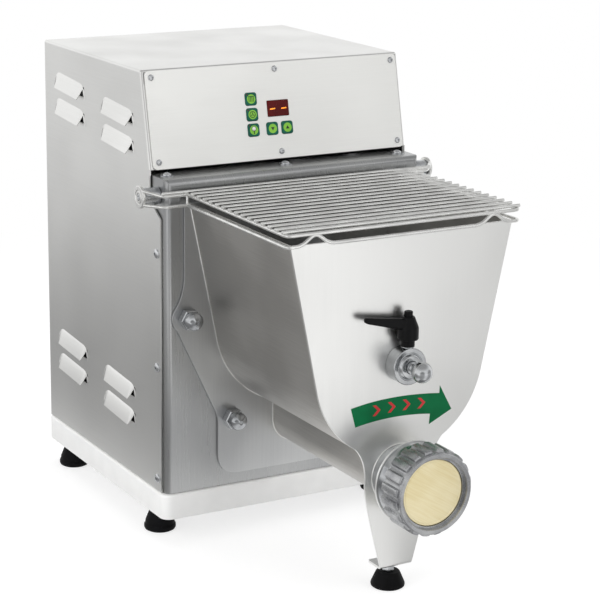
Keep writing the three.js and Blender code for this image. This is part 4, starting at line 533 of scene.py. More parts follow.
class Form:
    """A shape in the making, in millimetres of the machine's frame."""

    def __init__(self) -> None:
        """Starts an empty shape."""
        self.mesh = bmesh.new()

    def skin(self, rings: Sequence[Sequence[Vector]], loop: bool = False, capped: bool = True,
             around: bool = True) -> Form:
        """Stretches a skin over rings of equally many points; a ring of one point is a pole.

        Args:
            rings: The rings in order.
            loop: Whether the last ring joins the first.
            capped: Whether open end rings are closed with a face.
            around: Whether each ring's last point joins its first.

        Returns:
            The form itself.
        """
        made = [[self.mesh.verts.new(p) for p in ring] for ring in rings]
        for a, b in list(zip(made, made[1:])) + ([(made[-1], made[0])] if loop else []):
            count = max(len(a), len(b))
            for k in range(count if around else count - 1):
                n = (k + 1) % count
                if len(a) == 1:
                    corners = (a[0], b[n], b[k])
                elif len(b) == 1:
                    corners = (a[k], a[n], b[0])
                else:
                    corners = (a[k], a[n], b[n], b[k])
                self.mesh.faces.new(corners)
        if capped and not loop:
            for ring in (made[0], made[-1]):
                if len(ring) > 2:
                    self.mesh.faces.new(ring)
        return self

    def across(self, half: float, outline: Outline) -> Form:
        """Stretches an outline of (y, z) pairs from one side of the machine to the other."""
        return self.skin([[Vector((x, y, z)) for y, z in outline] for x in (-half, half)])

    def turned(self, axis: Axis, profile: Sequence[Pair], centre: Triple = (0.0, 0.0, 0.0),
               sides: int = 64) -> Form:
        """Turns a profile that starts and ends on the axis or closes on itself.

        Args:
            axis: The direction of the axis.
            profile: Pairs of a radius and a place along the axis.
            centre: A point of the axis, from which the places are counted.
            sides: Straight pieces in a turn.

        Returns:
            The form itself.
        """
        loop = profile[0] == profile[-1] and profile[0][0] > 0
        middle = Vector(centre)
        rings = []
        for radius, along in profile[:-1] if loop else profile:
            count = sides if radius > 0 else 1
            rings.append([middle + axis.place(radius, TAU * k / count, along) for k in range(count)])
        return self.skin(rings, loop, False)

    def plate(self, outlines: Sequence[Outline], low: float, high: float, lay: Lay) -> Form:
        """Makes a plate from an outline and its holes.

        Args:
            outlines: The outer outline, then the holes.
            low: Place of one face.
            high: Place of the other face.
            lay: Turns an outline's two coordinates and a face's place into a point.

        Returns:
            The form itself.
        """
        flat = [p for outline in outlines for p in outline]
        foot, head = ([self.mesh.verts.new(lay(a, b, level)) for a, b in flat] for level in (low, high))
        for face in triangles(outlines):
            self.mesh.faces.new([foot[i] for i in reversed(face)])
            self.mesh.faces.new([head[i] for i in face])
        start = 0
        for outline in outlines:
            count = len(outline)
            for k in range(count):
                i, j = start + k, start + (k + 1) % count
                self.mesh.faces.new((foot[i], foot[j], head[j], head[i]))
            start += count
        return self

    def lid(self, rims: Sequence[tuple[Outline, float]], holes: Sequence[Outline], lay: Lay) -> Form:
        """Makes a plate with an eased rim.

        Args:
            rims: Outlines of equally many points with their levels, from the lower face to the upper one.
            holes: Outlines of its holes.
            lay: Turns an outline's two coordinates and a level into a point.

        Returns:
            The form itself.
        """
        self.skin([[Vector(lay(a, b, level)) for a, b in outline] for outline, level in rims], capped=False)
        ends = (rims[0], rims[-1])
        for outline, level in ends:
            loops = (outline, *holes)
            flat = [self.mesh.verts.new(lay(a, b, level)) for loop in loops for a, b in loop]
            for face in triangles(loops):
                self.mesh.faces.new([flat[i] for i in face])
        for hole in holes:
            self.skin([[Vector(lay(a, b, level)) for a, b in hole] for _, level in ends], capped=False)
        return self

    def pattern(self, outlines: Sequence[Outline], folds: Sequence[Pair],
                fold: Callable[[float, float], Triple]) -> Form:
        """Makes a folded sheet from its flat pattern, facing the side that the pattern is seen from.

        Args:
            outlines: The pattern's outline, then its holes, none of whose corners lie on a fold.
            folds: Fold lines as (0 or 1 for the coordinate that is steady, its value).
            fold: Turns the pattern's two coordinates into a point.

        Returns:
            The form itself.
        """
        flat = [self.mesh.verts.new((a, b, 0.0)) for outline in outlines for a, b in outline]
        for face in triangles(outlines):
            made = self.mesh.faces.new([flat[i] for i in face])
            made.normal_update()
            if made.normal.z < 0:
                made.normal_flip()
        for steady, value in folds:
            geometry = self.mesh.verts[:] + self.mesh.edges[:] + self.mesh.faces[:]
            way = (0, 1, 0) if steady else (1, 0, 0)
            bmesh.ops.bisect_plane(self.mesh, geom=geometry, dist=1e-5, plane_no=way,
                                   plane_co=[value * share for share in way])
        for vert in self.mesh.verts:
            vert.co = fold(vert.co.x, vert.co.y)
        return self

    def tube(self, path: Sequence[Sequence[float]], radius: float, sides: int = 16) -> Form:
        """Makes a wire with round ends along a path."""
        points = [Vector(p) for p in path]
        ways = [(b - a).normalized() for a, b in zip(points, points[1:])]
        ways = [ways[0]] + [(a + b).normalized() for a, b in zip(ways, ways[1:])] + [ways[-1]]
        side = ways[0].orthogonal().normalized()
        pole, rim, narrow = 0.55 * radius, 0.3 * radius, 0.8 * radius
        rings: list[list[Vector]] = [[points[0] - ways[0] * pole]]
        for point, way in zip(points, ways):
            side = (side - way * side.dot(way)).normalized()
            other = way.cross(side)
            angles = [TAU * k / sides for k in range(sides)]
            around = [side * math.cos(a) + other * math.sin(a) for a in angles]
            if point is points[0]:
                rings.append([point - way * rim + v * narrow for v in around])
            rings.append([point + v * radius for v in around])
            if point is points[-1]:
                rings.append([point + way * rim + v * narrow for v in around])
        rings.append([points[-1] + ways[-1] * pole])
        return self.skin(rings)

    def add(self, other: Form) -> Form:
        """Takes in another shape."""
        kept = bpy.data.meshes.new("kept")
        other.mesh.to_mesh(kept)
        self.mesh.from_mesh(kept)
        bpy.data.meshes.remove(kept)
        other.mesh.free()
        return self

    def sealed(self, closed: bool = True) -> Form:
        """Closes the shape's seams, and turns a closed one's faces outwards."""
        bmesh.ops.remove_doubles(self.mesh, verts=self.mesh.verts[:], dist=SEAM)
        if closed:
            bmesh.ops.recalc_face_normals(self.mesh, faces=self.mesh.faces[:])
        return self

    def as_mesh(self, name: str) -> bpy.types.Mesh:
        """Gives the shape as a mesh, as it stands, and lets go of it."""
        mesh = bpy.data.meshes.new(name)
        self.mesh.to_mesh(mesh)
        self.mesh.free()
        return mesh


@dataclass
class Edge:
    """How a piece's sharp edges are broken."""

    width: float = 0.4
    segments: int = 2


@dataclass
class Assembly(ABC):
    """A sub-assembly: its sizes are its fields, and it builds and dresses its own pieces."""

    body: str = "machine_body"
    made: list[str] = field(default_factory=list)

    @abstractmethod
    def build(self) -> None:
        """Makes and dresses the pieces."""

    def piece(self, name: str, shape: Form, finish: Finish, replaces: Sequence[str] = (),
              body: str | None = None, edge: Edge | None = None, sheet: float = 0.0,
              weigh: bool = False) -> None:
        """Makes a finished piece out of a shape.

        Args:
            name: The piece's name.
            shape: Its form.
            finish: Its finish.
            replaces: The CAD nodes that it stands for.
            body: The CAD body that it rides on, if not the assembly's own.
            edge: How its sharp edges are broken.
            sheet: Thickness in millimetres that a skin is given inwards.
            weigh: Whether its flat faces keep the narrow ones beside them from bending their shading.
        """
        shape.sealed(not sheet)
        for vert in shape.mesh.verts:
            vert.co = row(*vert.co)
        mesh = shape.as_mesh(name)
        mesh.materials.append(finish.material())
        mesh.shade_smooth()
        mesh.set_sharp_from_angle(angle=SHARP)
        thing = bpy.data.objects.new(name, mesh)
        bpy.context.scene.collection.objects.link(thing)
        if sheet:
            sides = Counter(key for polygon in mesh.polygons for key in polygon.edge_keys)
            for line in mesh.edges:
                line.use_edge_sharp = line.use_edge_sharp or sides[line.key] == 1
            wall = thing.modifiers.new("wall", "SOLIDIFY")
            wall.thickness, wall.offset, wall.use_even_offset = sheet * MM, -1.0, True
        if edge:
            bevel = thing.modifiers.new("edge", "BEVEL")
            bevel.width, bevel.segments, bevel.limit_method = edge.width * MM, edge.segments, "ANGLE"
            bevel.angle_limit, bevel.use_clamp_overlap = SHARP, True
        if weigh or edge or sheet:
            shade = thing.modifiers.new("flat_faces", "WEIGHTED_NORMAL")
            shade.keep_sharp = True
        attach(thing, body or self.body)
        if replaces:
            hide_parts(*replaces)
        self.made.append(name)

    def report(self) -> None:
        """Logs the pieces that were made."""
        for name in self.made:
            log.info("%s: %s", type(self).__name__, name)


@dataclass(frozen=True)
class Row:
    """A Geometry Nodes tree that repeats a shape along a line, turning it a little more at each place."""

    count: int
    start: Triple
    step: Triple = (0.0, 0.0, 0.0)
    turn: Triple = (0.0, 0.0, 0.0)
    first_turn: Triple = (0.0, 0.0, 0.0)

    def tree(self) -> bpy.types.NodeTree:
        """Gives the tree, made the first time it is asked for, with a named input for each size."""
        found = bpy.data.node_groups.get("repeat_along_a_row")
        if found:
            return found
        tree = bpy.data.node_groups.new("repeat_along_a_row", "GeometryNodeTree")
        kinds = {"Geometry": "Geometry", "Piece": "Object", "Count": "Int", "Start": "Vector",
                 "Step": "Vector", "Turn": "Vector", "First Turn": "Vector", "Finish": "Material"}
        for name, kind in kinds.items():
            tree.interface.new_socket(name, in_out="INPUT", socket_type=f"NodeSocket{kind}")
        tree.interface.new_socket("Geometry", in_out="OUTPUT", socket_type="NodeSocketGeometry")
        nodes = Nodes(tree)
        given = nodes.add("NodeGroupInput")
        places = nodes.add("GeometryNodeMeshLine", {
            "mode": "OFFSET", "count_mode": "TOTAL", "Count": given["Count"],
            "Start Location": given["Start"], "Offset": given["Step"]})[0]
        shape = nodes.add("GeometryNodeObjectInfo", {
            "transform_space": "ORIGINAL", "Object": given["Piece"]})["Geometry"]
        index = nodes.add("GeometryNodeInputIndex")[0]
        turned = nodes.add("ShaderNodeVectorMath", {
            "operation": "MULTIPLY_ADD", 0: given["Turn"], 1: index, 2: given["First Turn"]})[0]
        put = nodes.add("GeometryNodeInstanceOnPoints", {
            "Points": places, "Instance": shape, "Rotation": turned})[0]
        real = nodes.add("GeometryNodeRealizeInstances", {0: put})[0]
        dressed = nodes.add("GeometryNodeSetMaterial", {"Geometry": real, "Material": given["Finish"]})[0]
        nodes.add("NodeGroupOutput", {0: dressed})
        return tree

    def repeat(self, shape: Form, finish: Finish, joined: Form | None = None, closed: bool = True) -> Form:
        """Runs the tree on a shape that is drawn about the origin.

        Args:
            shape: The shape to repeat, in millimetres.
            finish: The finish of the result.
            joined: A form that takes the result in, if any.
            closed: Whether the shape is closed, so that its faces are turned outwards.

        Returns:
            The form that holds the repeated shape, in the machine's frame.
        """
        pattern = bpy.data.objects.new("shape", shape.sealed(closed).as_mesh("shape"))
        holder = bpy.data.objects.new("holder", bpy.data.meshes.new("holder"))
        for thing in (pattern, holder):
            bpy.context.scene.collection.objects.link(thing)
        tree = self.tree()
        modifier = holder.modifiers.new("row", "NODES")
        modifier.node_group = tree
        values = {"Piece": pattern, "Count": self.count, "Start": self.start, "Step": self.step,
                  "Turn": [math.radians(a) for a in self.turn],
                  "First Turn": [math.radians(a) for a in self.first_turn], "Finish": finish.material()}
        for item in tree.interface.items_tree:
            if item.in_out == "INPUT" and item.name in values:
                modifier[item.identifier] = values[item.name]
        bpy.context.view_layer.update()
        result = bpy.data.meshes.new_from_object(holder.evaluated_get(bpy.context.evaluated_depsgraph_get()))
        form = joined or Form()
        form.mesh.from_mesh(result)
        bpy.data.objects.remove(holder)
        bpy.data.objects.remove(pattern)
        bpy.data.meshes.remove(result)
        return form


# Sub-assemblies

def screw_head(radius: float, height: float) -> Form:
    """Makes a domed screw head with a socket, standing on the origin and facing up."""
    dome = [(radius * math.cos(a), height * (0.3 + 0.7 * math.sin(a))) for a in turns(0, 65, 5)]
    socket = [(radius * 0.34, height), (radius * 0.3, height * 0.45), (0.0, height * 0.45)]
    return Form().turned(Axis.Z, [(0.0, 0.0), (radius, 0.0), *dome, *socket], sides=24)


@dataclass
class Base(Assembly):
    """White pressed base on four rubber feet."""

    half: float = 173.0
    front: float = -4.0
    rear: float = 341.0
    height: float = 30.0
    corner: float = 12.0
    wall: float = 4.0
    edge: float = 3.0
    hem: float = 1.2
    foot_height: float = 32.5
    foot_radius: float = 19.0
    foot_neck: float = 11.0
    foot_spread: float = 150.0
    foot_rows: Pair = (55.0, 311.0)
    foot_bulge: Profile = (
        (0.5, 0.6), (0.6, 0.0), (0.84, 0.0), (0.95, 1.2), (1.0, 3.2), (1.0, 6.0), (0.965, 7.4), (0.925, 8.2),
        (0.905, 12.0))

    def build(self) -> None:
        """Makes the tray and the feet."""
        self.piece("base_pressing", self.tray(), BASE_ENAMEL, ["base_tray"])
        names = [f"foot_{place}_{side}" for place in ("front", "rear") for side in ("left", "right")]
        self.piece("rubber_feet", self.feet(), FOOT_RUBBER, names)

    def ring(self, inset: float, z: float, radius: float) -> list[Vector]:
        """Gives the base's outline, drawn in by an inset, at a height."""
        outline = rounded(2 * (self.half - inset), self.rear - self.front - 2 * inset, radius, 0.0,
                          (self.rear + self.front) / 2)
        return [Vector((x, y, z)) for x, y in outline]

    def tray(self) -> Form:
        """Makes the tray, hollow below, with rounded edges; its topmost ring keeps the corners' radius."""
        low, top, wall, corner = self.foot_height, self.foot_height + self.height, self.wall, self.corner
        lip = [(wall, top - wall, corner - wall), (wall, low + 1.0, corner - wall),
               (wall - 0.4, low, corner - wall + 0.4)]
        foot = [(inset, low + up, corner - inset) for up, inset in quarter(self.hem, 3)]
        head = [(inset, top - drop, corner - inset * (inset < self.edge))
                for inset, drop in quarter(self.edge, 6)]
        return Form().skin([self.ring(*level) for level in lip + foot + head])

    def feet(self) -> Form:
        """Makes the four feet, two to a row, their rounded foot given as shares of its radius."""
        form = Form()
        neck, top, sole = self.foot_neck, self.foot_height - 0.3, self.foot_bulge[0][1]
        bulge = [(self.foot_radius * share, z) for share, z in self.foot_bulge]
        for y in self.foot_rows:
            foot = Form().turned(Axis.Z, [
                (0.0, sole), *bulge, (neck + 1.6, 23.6), (neck, 25.4), (neck, top), (0.0, top)], sides=48)
            Row(2, (-self.foot_spread, y, 0.0), (2 * self.foot_spread, 0.0, 0.0)).repeat(
                foot, FOOT_RUBBER, form)
        return form


@dataclass
class Casing(Assembly):
    """Folded casing of one sheet, with pressed louvres, side and rear screws and the cable gland."""

    half: float = 170.0
    top: float = 550.0
    floor: float = 62.8
    rear: float = 338.0
    front: float = 9.0
    slope_foot: Pair = (36.0, 440.0)
    slope_head_y: float = 60.0
    notch: Pair = (405.0, 388.0)
    sheet: float = 1.5
    fold: float = 3.0
    fold_steps: int = 8
    flange: float = 16.0
    lip_back: float = 2.0
    lip_thick: float = 1.0
    sill_y: float = 46.0
    sill: Pair = (436.9, 452.0)
    louvre_rows: tuple[float, ...] = (500.0, 468.0, 173.0, 141.0)
    louvre_columns: Pair = (122.5, 261.5)
    louvre_length: float = 94.0
    louvre_height: float = 19.0
    louvre_bulge: float = 6.0
    slot: Triple = (12.0, 87.0, 1.5)
    slot_below: float = 2.0
    hood_sheet: float = 0.9
    hood_round: float = 17.0
    hood_mouth: float = 13.0
    hood_peak: float = 13.5
    hood_peak_in: float = 7.0
    hood_rise_in: float = 0.8
    hood_stations: tuple[float, ...] = (0.0, 0.5, 1.2, 2.2, 3.4, 5.0, 8.6, 10.2, 11.6, 15.0)
    hood_steps: int = 12
    hood_tilt: float = 4.0
    hood_drop: float = 1.0
    side_screw: Triple = (18.0, 78.0, 134.5)
    rear_screw: Triple = (158.0, 84.0, 148.0)
    gland: Pair = (110.0, 96.0)
    gland_body: Profile = (
        (4.5, 326.0), (9.0, 326.0), (9.0, 345.2), (8.8, 350.0), (8.0, 352.4), (6.6, 353.8), (5.4, 354.0),
        (4.5, 353.4), (4.5, 326.0))
    gland_nut: Pair = (5.0, 12.0)
    gland_nut_ends: tuple[Pair, Pair] = ((338.3, 344.6), (331.4, 336.2))

    @property
    def tilt(self) -> float:
        """The slope of the front face from upright, in radians."""
        return math.atan2(self.slope_head_y - self.slope_foot[0], self.top - self.slope_foot[1])

    def slope_y(self, z: float) -> float:
        """Gives where the sloping front face is at a height."""
        return self.slope_foot[0] + (z - self.slope_foot[1]) * math.tan(self.tilt)

    def on_slope(self, x: float, up: float, out: float) -> Triple:
        """Gives a point by its place on the sloping face: across, up the slope, and out of it."""
        sine, cosine = math.sin(self.tilt), math.cos(self.tilt)
        y, z = self.slope_foot
        return x, y + up * sine - out * cosine, z + up * cosine + out * sine

    def hood_height(self, row_z: float, y: float) -> float:
        """Gives how high a row of louvres is at a place along it; the rows run down to the front."""
        middle = sum(self.louvre_columns) / 2
        return row_z - self.hood_drop + (y - middle) * math.tan(math.radians(self.hood_tilt))

    def build(self) -> None:
        """Makes the shell, its folds, louvres, screws and rear fittings."""
        self.piece("casing_sheet", self.shell(), CASING_STEEL, ["casing_shell"], sheet=self.sheet)
        self.piece("casing_front_folds", self.folds(), CASING_STEEL, edge=Edge(0.2, 1))
        self.piece("louvre_hoods", self.louvres(), CASING_STEEL, sheet=self.hood_sheet)
        self.piece("casing_lip", self.lip(), CASING_STEEL)
        self.piece("casing_screws", self.screws(), TURNED_SMALL)
        self.piece("gland", self.cable_gland(), LEVER_PLASTIC, ["cable_gland"], edge=Edge())

    def shell(self) -> Form:
        """Folds the sheet over both sides and the top, with a slot below each louvre."""
        flat = self.half - self.fold
        bend = self.fold * math.pi / 2
        gap = self.fold / math.cos(self.tilt)
        foot_y, foot_z = self.slope_foot

        def along(z: float) -> float:
            return flat + bend + self.top - self.fold - z

        def place(s: float, y: float) -> Triple:
            side, a = math.copysign(1.0, s), abs(s)
            if a <= flat:
                return s, y, self.top
            if a <= flat + bend:
                turn = (a - flat) / self.fold
                return (side * (flat + self.fold * math.sin(turn)), y,
                        self.top - self.fold * (1 - math.cos(turn)))
            return side * self.half, y, self.top - self.fold - (a - flat - bend)

        top_y = self.slope_head_y + self.fold * math.tan((math.pi / 2 - self.tilt) / 2)
        corner_y = self.slope_y(self.top - self.fold) + gap
        foot = along(self.floor)
        left = [(foot, self.front), (along(self.notch[1]), self.front), (along(self.notch[0]), foot_y),
                (along(foot_z), foot_y), (along(foot_z), foot_y + gap), (flat + bend, corner_y),
                (flat, top_y)]
        outline = [(-s, y) for s, y in left] + left[::-1] + [(foot, self.rear), (-foot, self.rear)]
        slots = [rounded(*self.slot, side * (along(self.hood_height(z, y)) + self.slot_below), y, 2)
                 for side in (-1, 1) for z in self.louvre_rows for y in self.louvre_columns]
        steps = [flat + bend * i / self.fold_steps for i in range(self.fold_steps + 1)]
        folds = [(0, side * s) for side in (-1, 1) for s in steps]
        return Form().pattern([outline, *slots], folds, place)

    def folds(self) -> Form:
        """Makes the folds that carry the sheet round onto the sloping front, with their flanges."""
        form = Form()
        r, inner_r, steps = self.fold, self.fold - self.sheet, self.fold_steps
        flat = self.half - r
        length = math.hypot(self.top - self.slope_foot[1], self.slope_head_y - self.slope_foot[0])
        head = length - r * math.tan((math.pi / 2 - self.tilt) / 2)
        for side in (-1, 1):
            edge = side * (self.half - self.flange)
            section = [(side * (flat + r * math.sin(a)), -r * (1 - math.cos(a))) for a in turns(90, 0, steps)]
            section += [(edge, 0.0), (edge, -self.sheet)]
            section += [(side * (flat + inner_r * math.sin(a)), inner_r * math.cos(a) - r)
                        for a in turns(0, 90, steps)]
            form.add(Form().skin([[Vector(self.on_slope(x, up, out)) for x, out in section]
                                  for up in (0.0, head)]))
        _, y, z = self.on_slope(0.0, head, -r)
        bend = turns(0, 90 - math.degrees(self.tilt), steps)
        curve = [(y - radius * math.cos(self.tilt + a), z + radius * math.sin(self.tilt + a))
                 for radius, angles in ((r, bend), (inner_r, bend[::-1])) for a in angles]
        front, back = (self.on_slope(0.0, length - self.flange, out)[1:] for out in (0.0, -self.sheet))
        form.add(Form().across(flat, [front, *curve, back]))
        ball = [(0.0, -r), *[(r * math.cos(a), r * math.sin(a)) for a in turns(-75, 75, 10)], (0.0, r)]
        for side in (-1, 1):
            form.add(Form().turned(Axis.Z, ball, (side * flat, y, z), 24))
        return form

    def lip(self) -> Form:
        """Makes the lip inside each side's front edge and the sill behind the control plate's foot."""
        form = Form()
        thick, flat = self.lip_thick, self.half - self.sheet
        near, far = self.front + self.lip_back, self.slope_foot[0] + self.lip_back
        line = [(near, self.floor + 0.4), (near, self.notch[1]), (far, self.notch[0]),
                (far, self.slope_foot[1] - 1.0)]
        for side in (-1, 1):
            section = ((0.0, 0.0), (thick, 0.0), (thick, thick), (0.0, thick))
            form.skin([[Vector((side * (flat - a), y + back, z)) for a, back in section] for y, z in line])
        y, (low, high) = self.sill_y, self.sill
        return form.across(flat, [(y, low), (y + thick, low), (y + thick, high), (y, high)])

    def hood(self, side: int) -> Form:
        """Presses one louvre hood out of the panel, about the origin.

        Args:
            side: The side that it bulges to, minus or plus one.

        Returns:
            The hood: flush along its round top, open below, with a three-cornered mouth at each torn end.
        """
        half, low, tall = self.louvre_length / 2, -self.louvre_height / 2, self.louvre_height
        mouth, peak_in = self.hood_mouth, self.hood_peak_in
        rise_in, round_in = self.hood_rise_in, self.hood_round
        stations = sorted({*self.hood_stations, peak_in, mouth, round_in})
        rings = []
        for way, e in [(-1, e) for e in stations] + [(1, e) for e in reversed(stations)]:
            turn = max(0.0, 1 - e / round_in)
            top = low + tall * math.sqrt(1 - turn * turn)
            swell = self.louvre_bulge * min(1.0, e / mouth) ** 1.2
            rise = (e - rise_in) / (peak_in - rise_in) if e < peak_in else (mouth - e) / (mouth - peak_in)
            foot = min(low + self.hood_peak * max(0.0, rise), top)
            heights = [top + (foot - top) * i / self.hood_steps for i in range(self.hood_steps + 1)]
            shares = [(top - z) / max(top - low, 1e-6) for z in heights]
            rings.append([Vector((side * swell * share ** 0.85, way * (half - e), z))
                          for share, z in zip(shares, heights)])
        form = Form().skin(rings, capped=False, around=False)
        form.mesh.normal_update()
        if side * sum(face.normal.x for face in form.mesh.faces) < 0:
            bmesh.ops.reverse_faces(form.mesh, faces=form.mesh.faces[:])
        return form

    def louvres(self) -> Form:
        """Sets the hoods out in rows of two on both sides."""
        form = Form()
        first, last = self.louvre_columns
        for side in (-1, 1):
            for z in self.louvre_rows:
                start, end = self.hood_height(z, first), self.hood_height(z, last)
                Row(2, (side * self.half, first, start), (0.0, last - first, end - start),
                    first_turn=(self.hood_tilt, 0, 0)).repeat(
                    self.hood(side), CASING_STEEL, form, closed=False)
        return form

    def screws(self) -> Form:
        """Sets out the screws of both sides and of the rear panel, by their place, first height and step."""
        form = Form()
        y, side_z, side_step = self.side_screw
        x, rear_z, rear_step = self.rear_screw
        for side in (-1, 1):
            Row(3, (side * self.half, y, side_z), (0.0, 0.0, side_step), first_turn=(0, 90 * side, 0)).repeat(
                screw_head(5.6, 2.8), TURNED_SMALL, form)
            Row(4, (side * x, self.rear, rear_z), (0.0, 0.0, rear_step), first_turn=(-90, 0, 0)).repeat(
                screw_head(4.0, 2.2), TURNED_SMALL, form)
        return form

    def cable_gland(self) -> Form:
        """Makes the gland's body with its domed cap and its two hexagons."""
        x, z = self.gland
        bore, wide = self.gland_nut
        form = Form().turned(Axis.Y, self.gland_body, (x, 0.0, z), 40)
        for low, high in self.gland_nut_ends:
            form.turned(Axis.Y, [(bore, low), (wide, low), (wide, high), (bore, high), (bore, low)],
                        (x, 0.0, z), 6)
        return form


@dataclass
class FrontCover(Assembly):
    """Folded front cover, whose top runs on under the control panel."""

    half: float = 167.25
    floor: float = 62.8
    top: float = 434.0
    depth: float = 36.0
    under: float = 46.0
    fold: float = 7.5
    sheet: float = 1.5
    screw: Pair = (153.0, 27.0)
    washer: Pair = (8.0, 0.9)

    def build(self) -> None:
        """Makes the cover, its ledge and its three screws."""
        self.piece("cover_sheet", self.tray(), COVER_STEEL_PAINTED_REFLECTION, ["front_cover"], sheet=self.sheet)
        self.piece("cover_ledge", self.ledge(), COVER_STEEL_PAINTED_REFLECTION)
        x, y = self.screw
        radius, thick = self.washer
        screw = screw_head(5.2, 3.4).turned(
            Axis.Z, [(0.0, 0.0), (radius, 0.0), (radius, thick), (0.0, thick)], sides=32)
        self.piece("cover_screws", Row(3, (-x, y, self.top), (x, 0.0, 0.0)).repeat(screw, TURNED_SMALL),
                   TURNED_SMALL)

    def tray(self) -> Form:
        """Folds the front face back over the top and both sides; it stays open below and behind."""
        levels = [(inset, y) for y, inset in quarter(self.fold, 12)] + [(0.0, self.depth)]
        rings = []
        for inset, y in levels:
            half, top = self.half - inset, self.top - inset
            rings.append([Vector((x, y, z)) for x, z in (
                (-half, self.floor), (-half, top), (half, top), (half, self.floor))])
        form = Form().skin(rings, capped=False, around=False)
        form.mesh.faces.new([form.mesh.verts.new(p) for p in rings[0]])
        return form.sealed()

    def ledge(self) -> Form:
        """Makes the strip that carries the cover's top on under the control panel."""
        low = self.top - self.sheet
        return Form().across(self.half - self.sheet, [
            (self.depth, self.top), (self.under, self.top), (self.under, low), (self.depth, low)])


class Mark(Enum):
    """What a key shows inside its disc."""

    STRANDS = "strands"
    ROTOR = "rotor"
    SPOON = "spoon"
    DOWN = "down"
    UP = "up"


@dataclass
class ControlPanel(Assembly):
    """Sloping control plate with five keys and a display."""

    casing: Casing = field(default_factory=Casing)
    width: float = 332.0
    height: float = 112.4
    middle: float = 55.1
    corner: float = 5.5
    back: float = 0.3
    face: float = 2.3
    play: float = 0.6
    screw_x: float = 158.5
    screw_rows: Pair = (7.4, 103.5)
    key_size: float = 14.8
    key_corner: float = 3.0
    key_face: float = 3.7
    key_foot: float = -3.2
    disc: float = 5.4
    lamp: float = 5.3
    film: float = 0.06
    screen: Pair = (28.0, 18.6)
    screen_up: float = 57.6
    screen_corner: float = 1.0
    screen_face: float = 3.1
    dashes: Pair = (-7.4, 7.4)
    dash: Profile = ((-3.6, -1.4), (3.2, -1.0), (3.6, 0.4), (-3.2, 0.0))
    keys: tuple[tuple[str, str, float, float, Mark], ...] = (
        ("key_extrude", "extrude_key", -34.5, 34.4, Mark.SPOON),
        ("key_knead", "knead_key", -34.5, 52.4, Mark.ROTOR),
        ("key_stop", "stop_key", -34.5, 70.4, Mark.STRANDS),
        ("key_time_down", "time_down_key", -9.8, 34.4, Mark.DOWN),
        ("key_time_up", "time_up_key", 9.8, 34.4, Mark.UP))

    def printed(self, outlines: Sequence[Outline], face: float, layers: int = 1) -> Form:
        """Prints an outline with its holes on a face, or over a first layer of print."""
        foot = face - SUNK if layers == 1 else face
        return Form().plate(outlines, foot, face + layers * self.film, self.casing.on_slope)

    def slab(self, width: float, height: float, corner: float, x: float, up: float, high: float, ease: float,
             holes: Sequence[Outline] = (), low: float | None = None) -> Form:
        """Makes a round-cornered plate with an eased rim that lies on the slope.

        Args:
            width: Its size across.
            height: Its size up the slope.
            corner: Radius of its corners.
            x: Its centre across.
            up: Its centre up the slope.
            high: Level of its face.
            ease: Radius that breaks its rim.
            holes: Outlines of its holes.
            low: Level of its back, if not that of the keys.

        Returns:
            The plate.
        """
        low = self.key_foot if low is None else low
        rims = eased_rims(width, height, corner, x, up, low, high, ease)
        return Form().lid(rims, holes, self.casing.on_slope)

    def build(self) -> None:
        """Makes the plate, its screws, the display and the keys."""
        hole = self.key_size + self.play
        holes = [rounded(hole, hole, self.key_corner, x, up) for _, _, x, up, _ in self.keys]
        holes.append(rounded(*(side + self.play for side in self.screen), self.screen_corner, 0.0,
                             self.screen_up))
        plate = self.slab(self.width, self.height, self.corner, 0.0, self.middle, self.face, 0.6, holes,
                          self.back)
        self.piece("panel_plate", plate, PANEL_STEEL, ["control_plate"], weigh=True)
        form = Form()
        lean = 90 - math.degrees(self.casing.tilt)
        for up in self.screw_rows:
            start = self.casing.on_slope(-self.screw_x, up, self.face)
            Row(3, start, (self.screw_x, 0.0, 0.0), first_turn=(lean, 0, 0)).repeat(
                screw_head(3.6, 1.7), TURNED_SMALL, form)
        self.piece("panel_screws", form, TURNED_SMALL)
        self.display()
        for key in self.keys:
            self.key(*key)

    def display(self) -> None:
        """Makes the display's filter and the two dashes that it shows."""
        window = self.slab(*self.screen, self.screen_corner, 0.0, self.screen_up, self.screen_face, 0.35)
        self.piece("display_filter", window, SCREEN_FILTER, ["display_window"], weigh=True)
        form = Form()
        for x in self.dashes:
            form.add(self.printed([[(x + a, self.screen_up + b) for a, b in self.dash]], self.screen_face))
        self.piece("display_dashes", form, SCREEN_DASH)

    def key(self, name: str, body: str, x: float, up: float, mark: Mark) -> None:
        """Makes one key with the prints on its film.

        Args:
            name: The key's CAD node, which begins its pieces' names.
            body: The body that it moves with.
            x: Its centre across the panel.
            up: Its centre up the slope.
            mark: What it shows.
        """
        size, face = self.key_size, self.key_face
        cap = self.slab(size, size, self.key_corner, x, up, face, 0.7)
        self.piece(f"{name}_cap", cap, KEY_FILM, [name], body, weigh=True)
        disc = self.printed([circle(self.disc, x, up, 48)], face)
        self.piece(f"{name}_disc", disc, KEY_DISC_PRINT, body=body)
        dark, pale = self.marks(mark, x, up)
        self.piece(f"{name}_mark", dark, KEY_MARK_PRINT, body=body)
        if pale:
            self.piece(f"{name}_pale_mark", pale, KEY_PALE_PRINT, body=body)
        if mark not in (Mark.DOWN, Mark.UP):
            lamp = self.printed([rounded(1.8, 1.8, 0.4, x - self.lamp, up + self.lamp, 2)], face)
            self.piece(f"{name}_lamp", lamp, KEY_LAMP, body=body)

    def marks(self, mark: Mark, x: float, up: float) -> tuple[Form, Form | None]:
        """Draws what a key shows.

        Args:
            mark: The key's mark.
            x: Centre of the key across the panel.
            up: Centre of the key up the slope.

        Returns:
            The dark print, and the pale one where there is any.
        """

        def put(*outlines: Outline) -> Form:
            placed = [[(x + a, up + b) for a, b in outline] for outline in outlines]
            return self.printed(placed, self.key_face, 2)

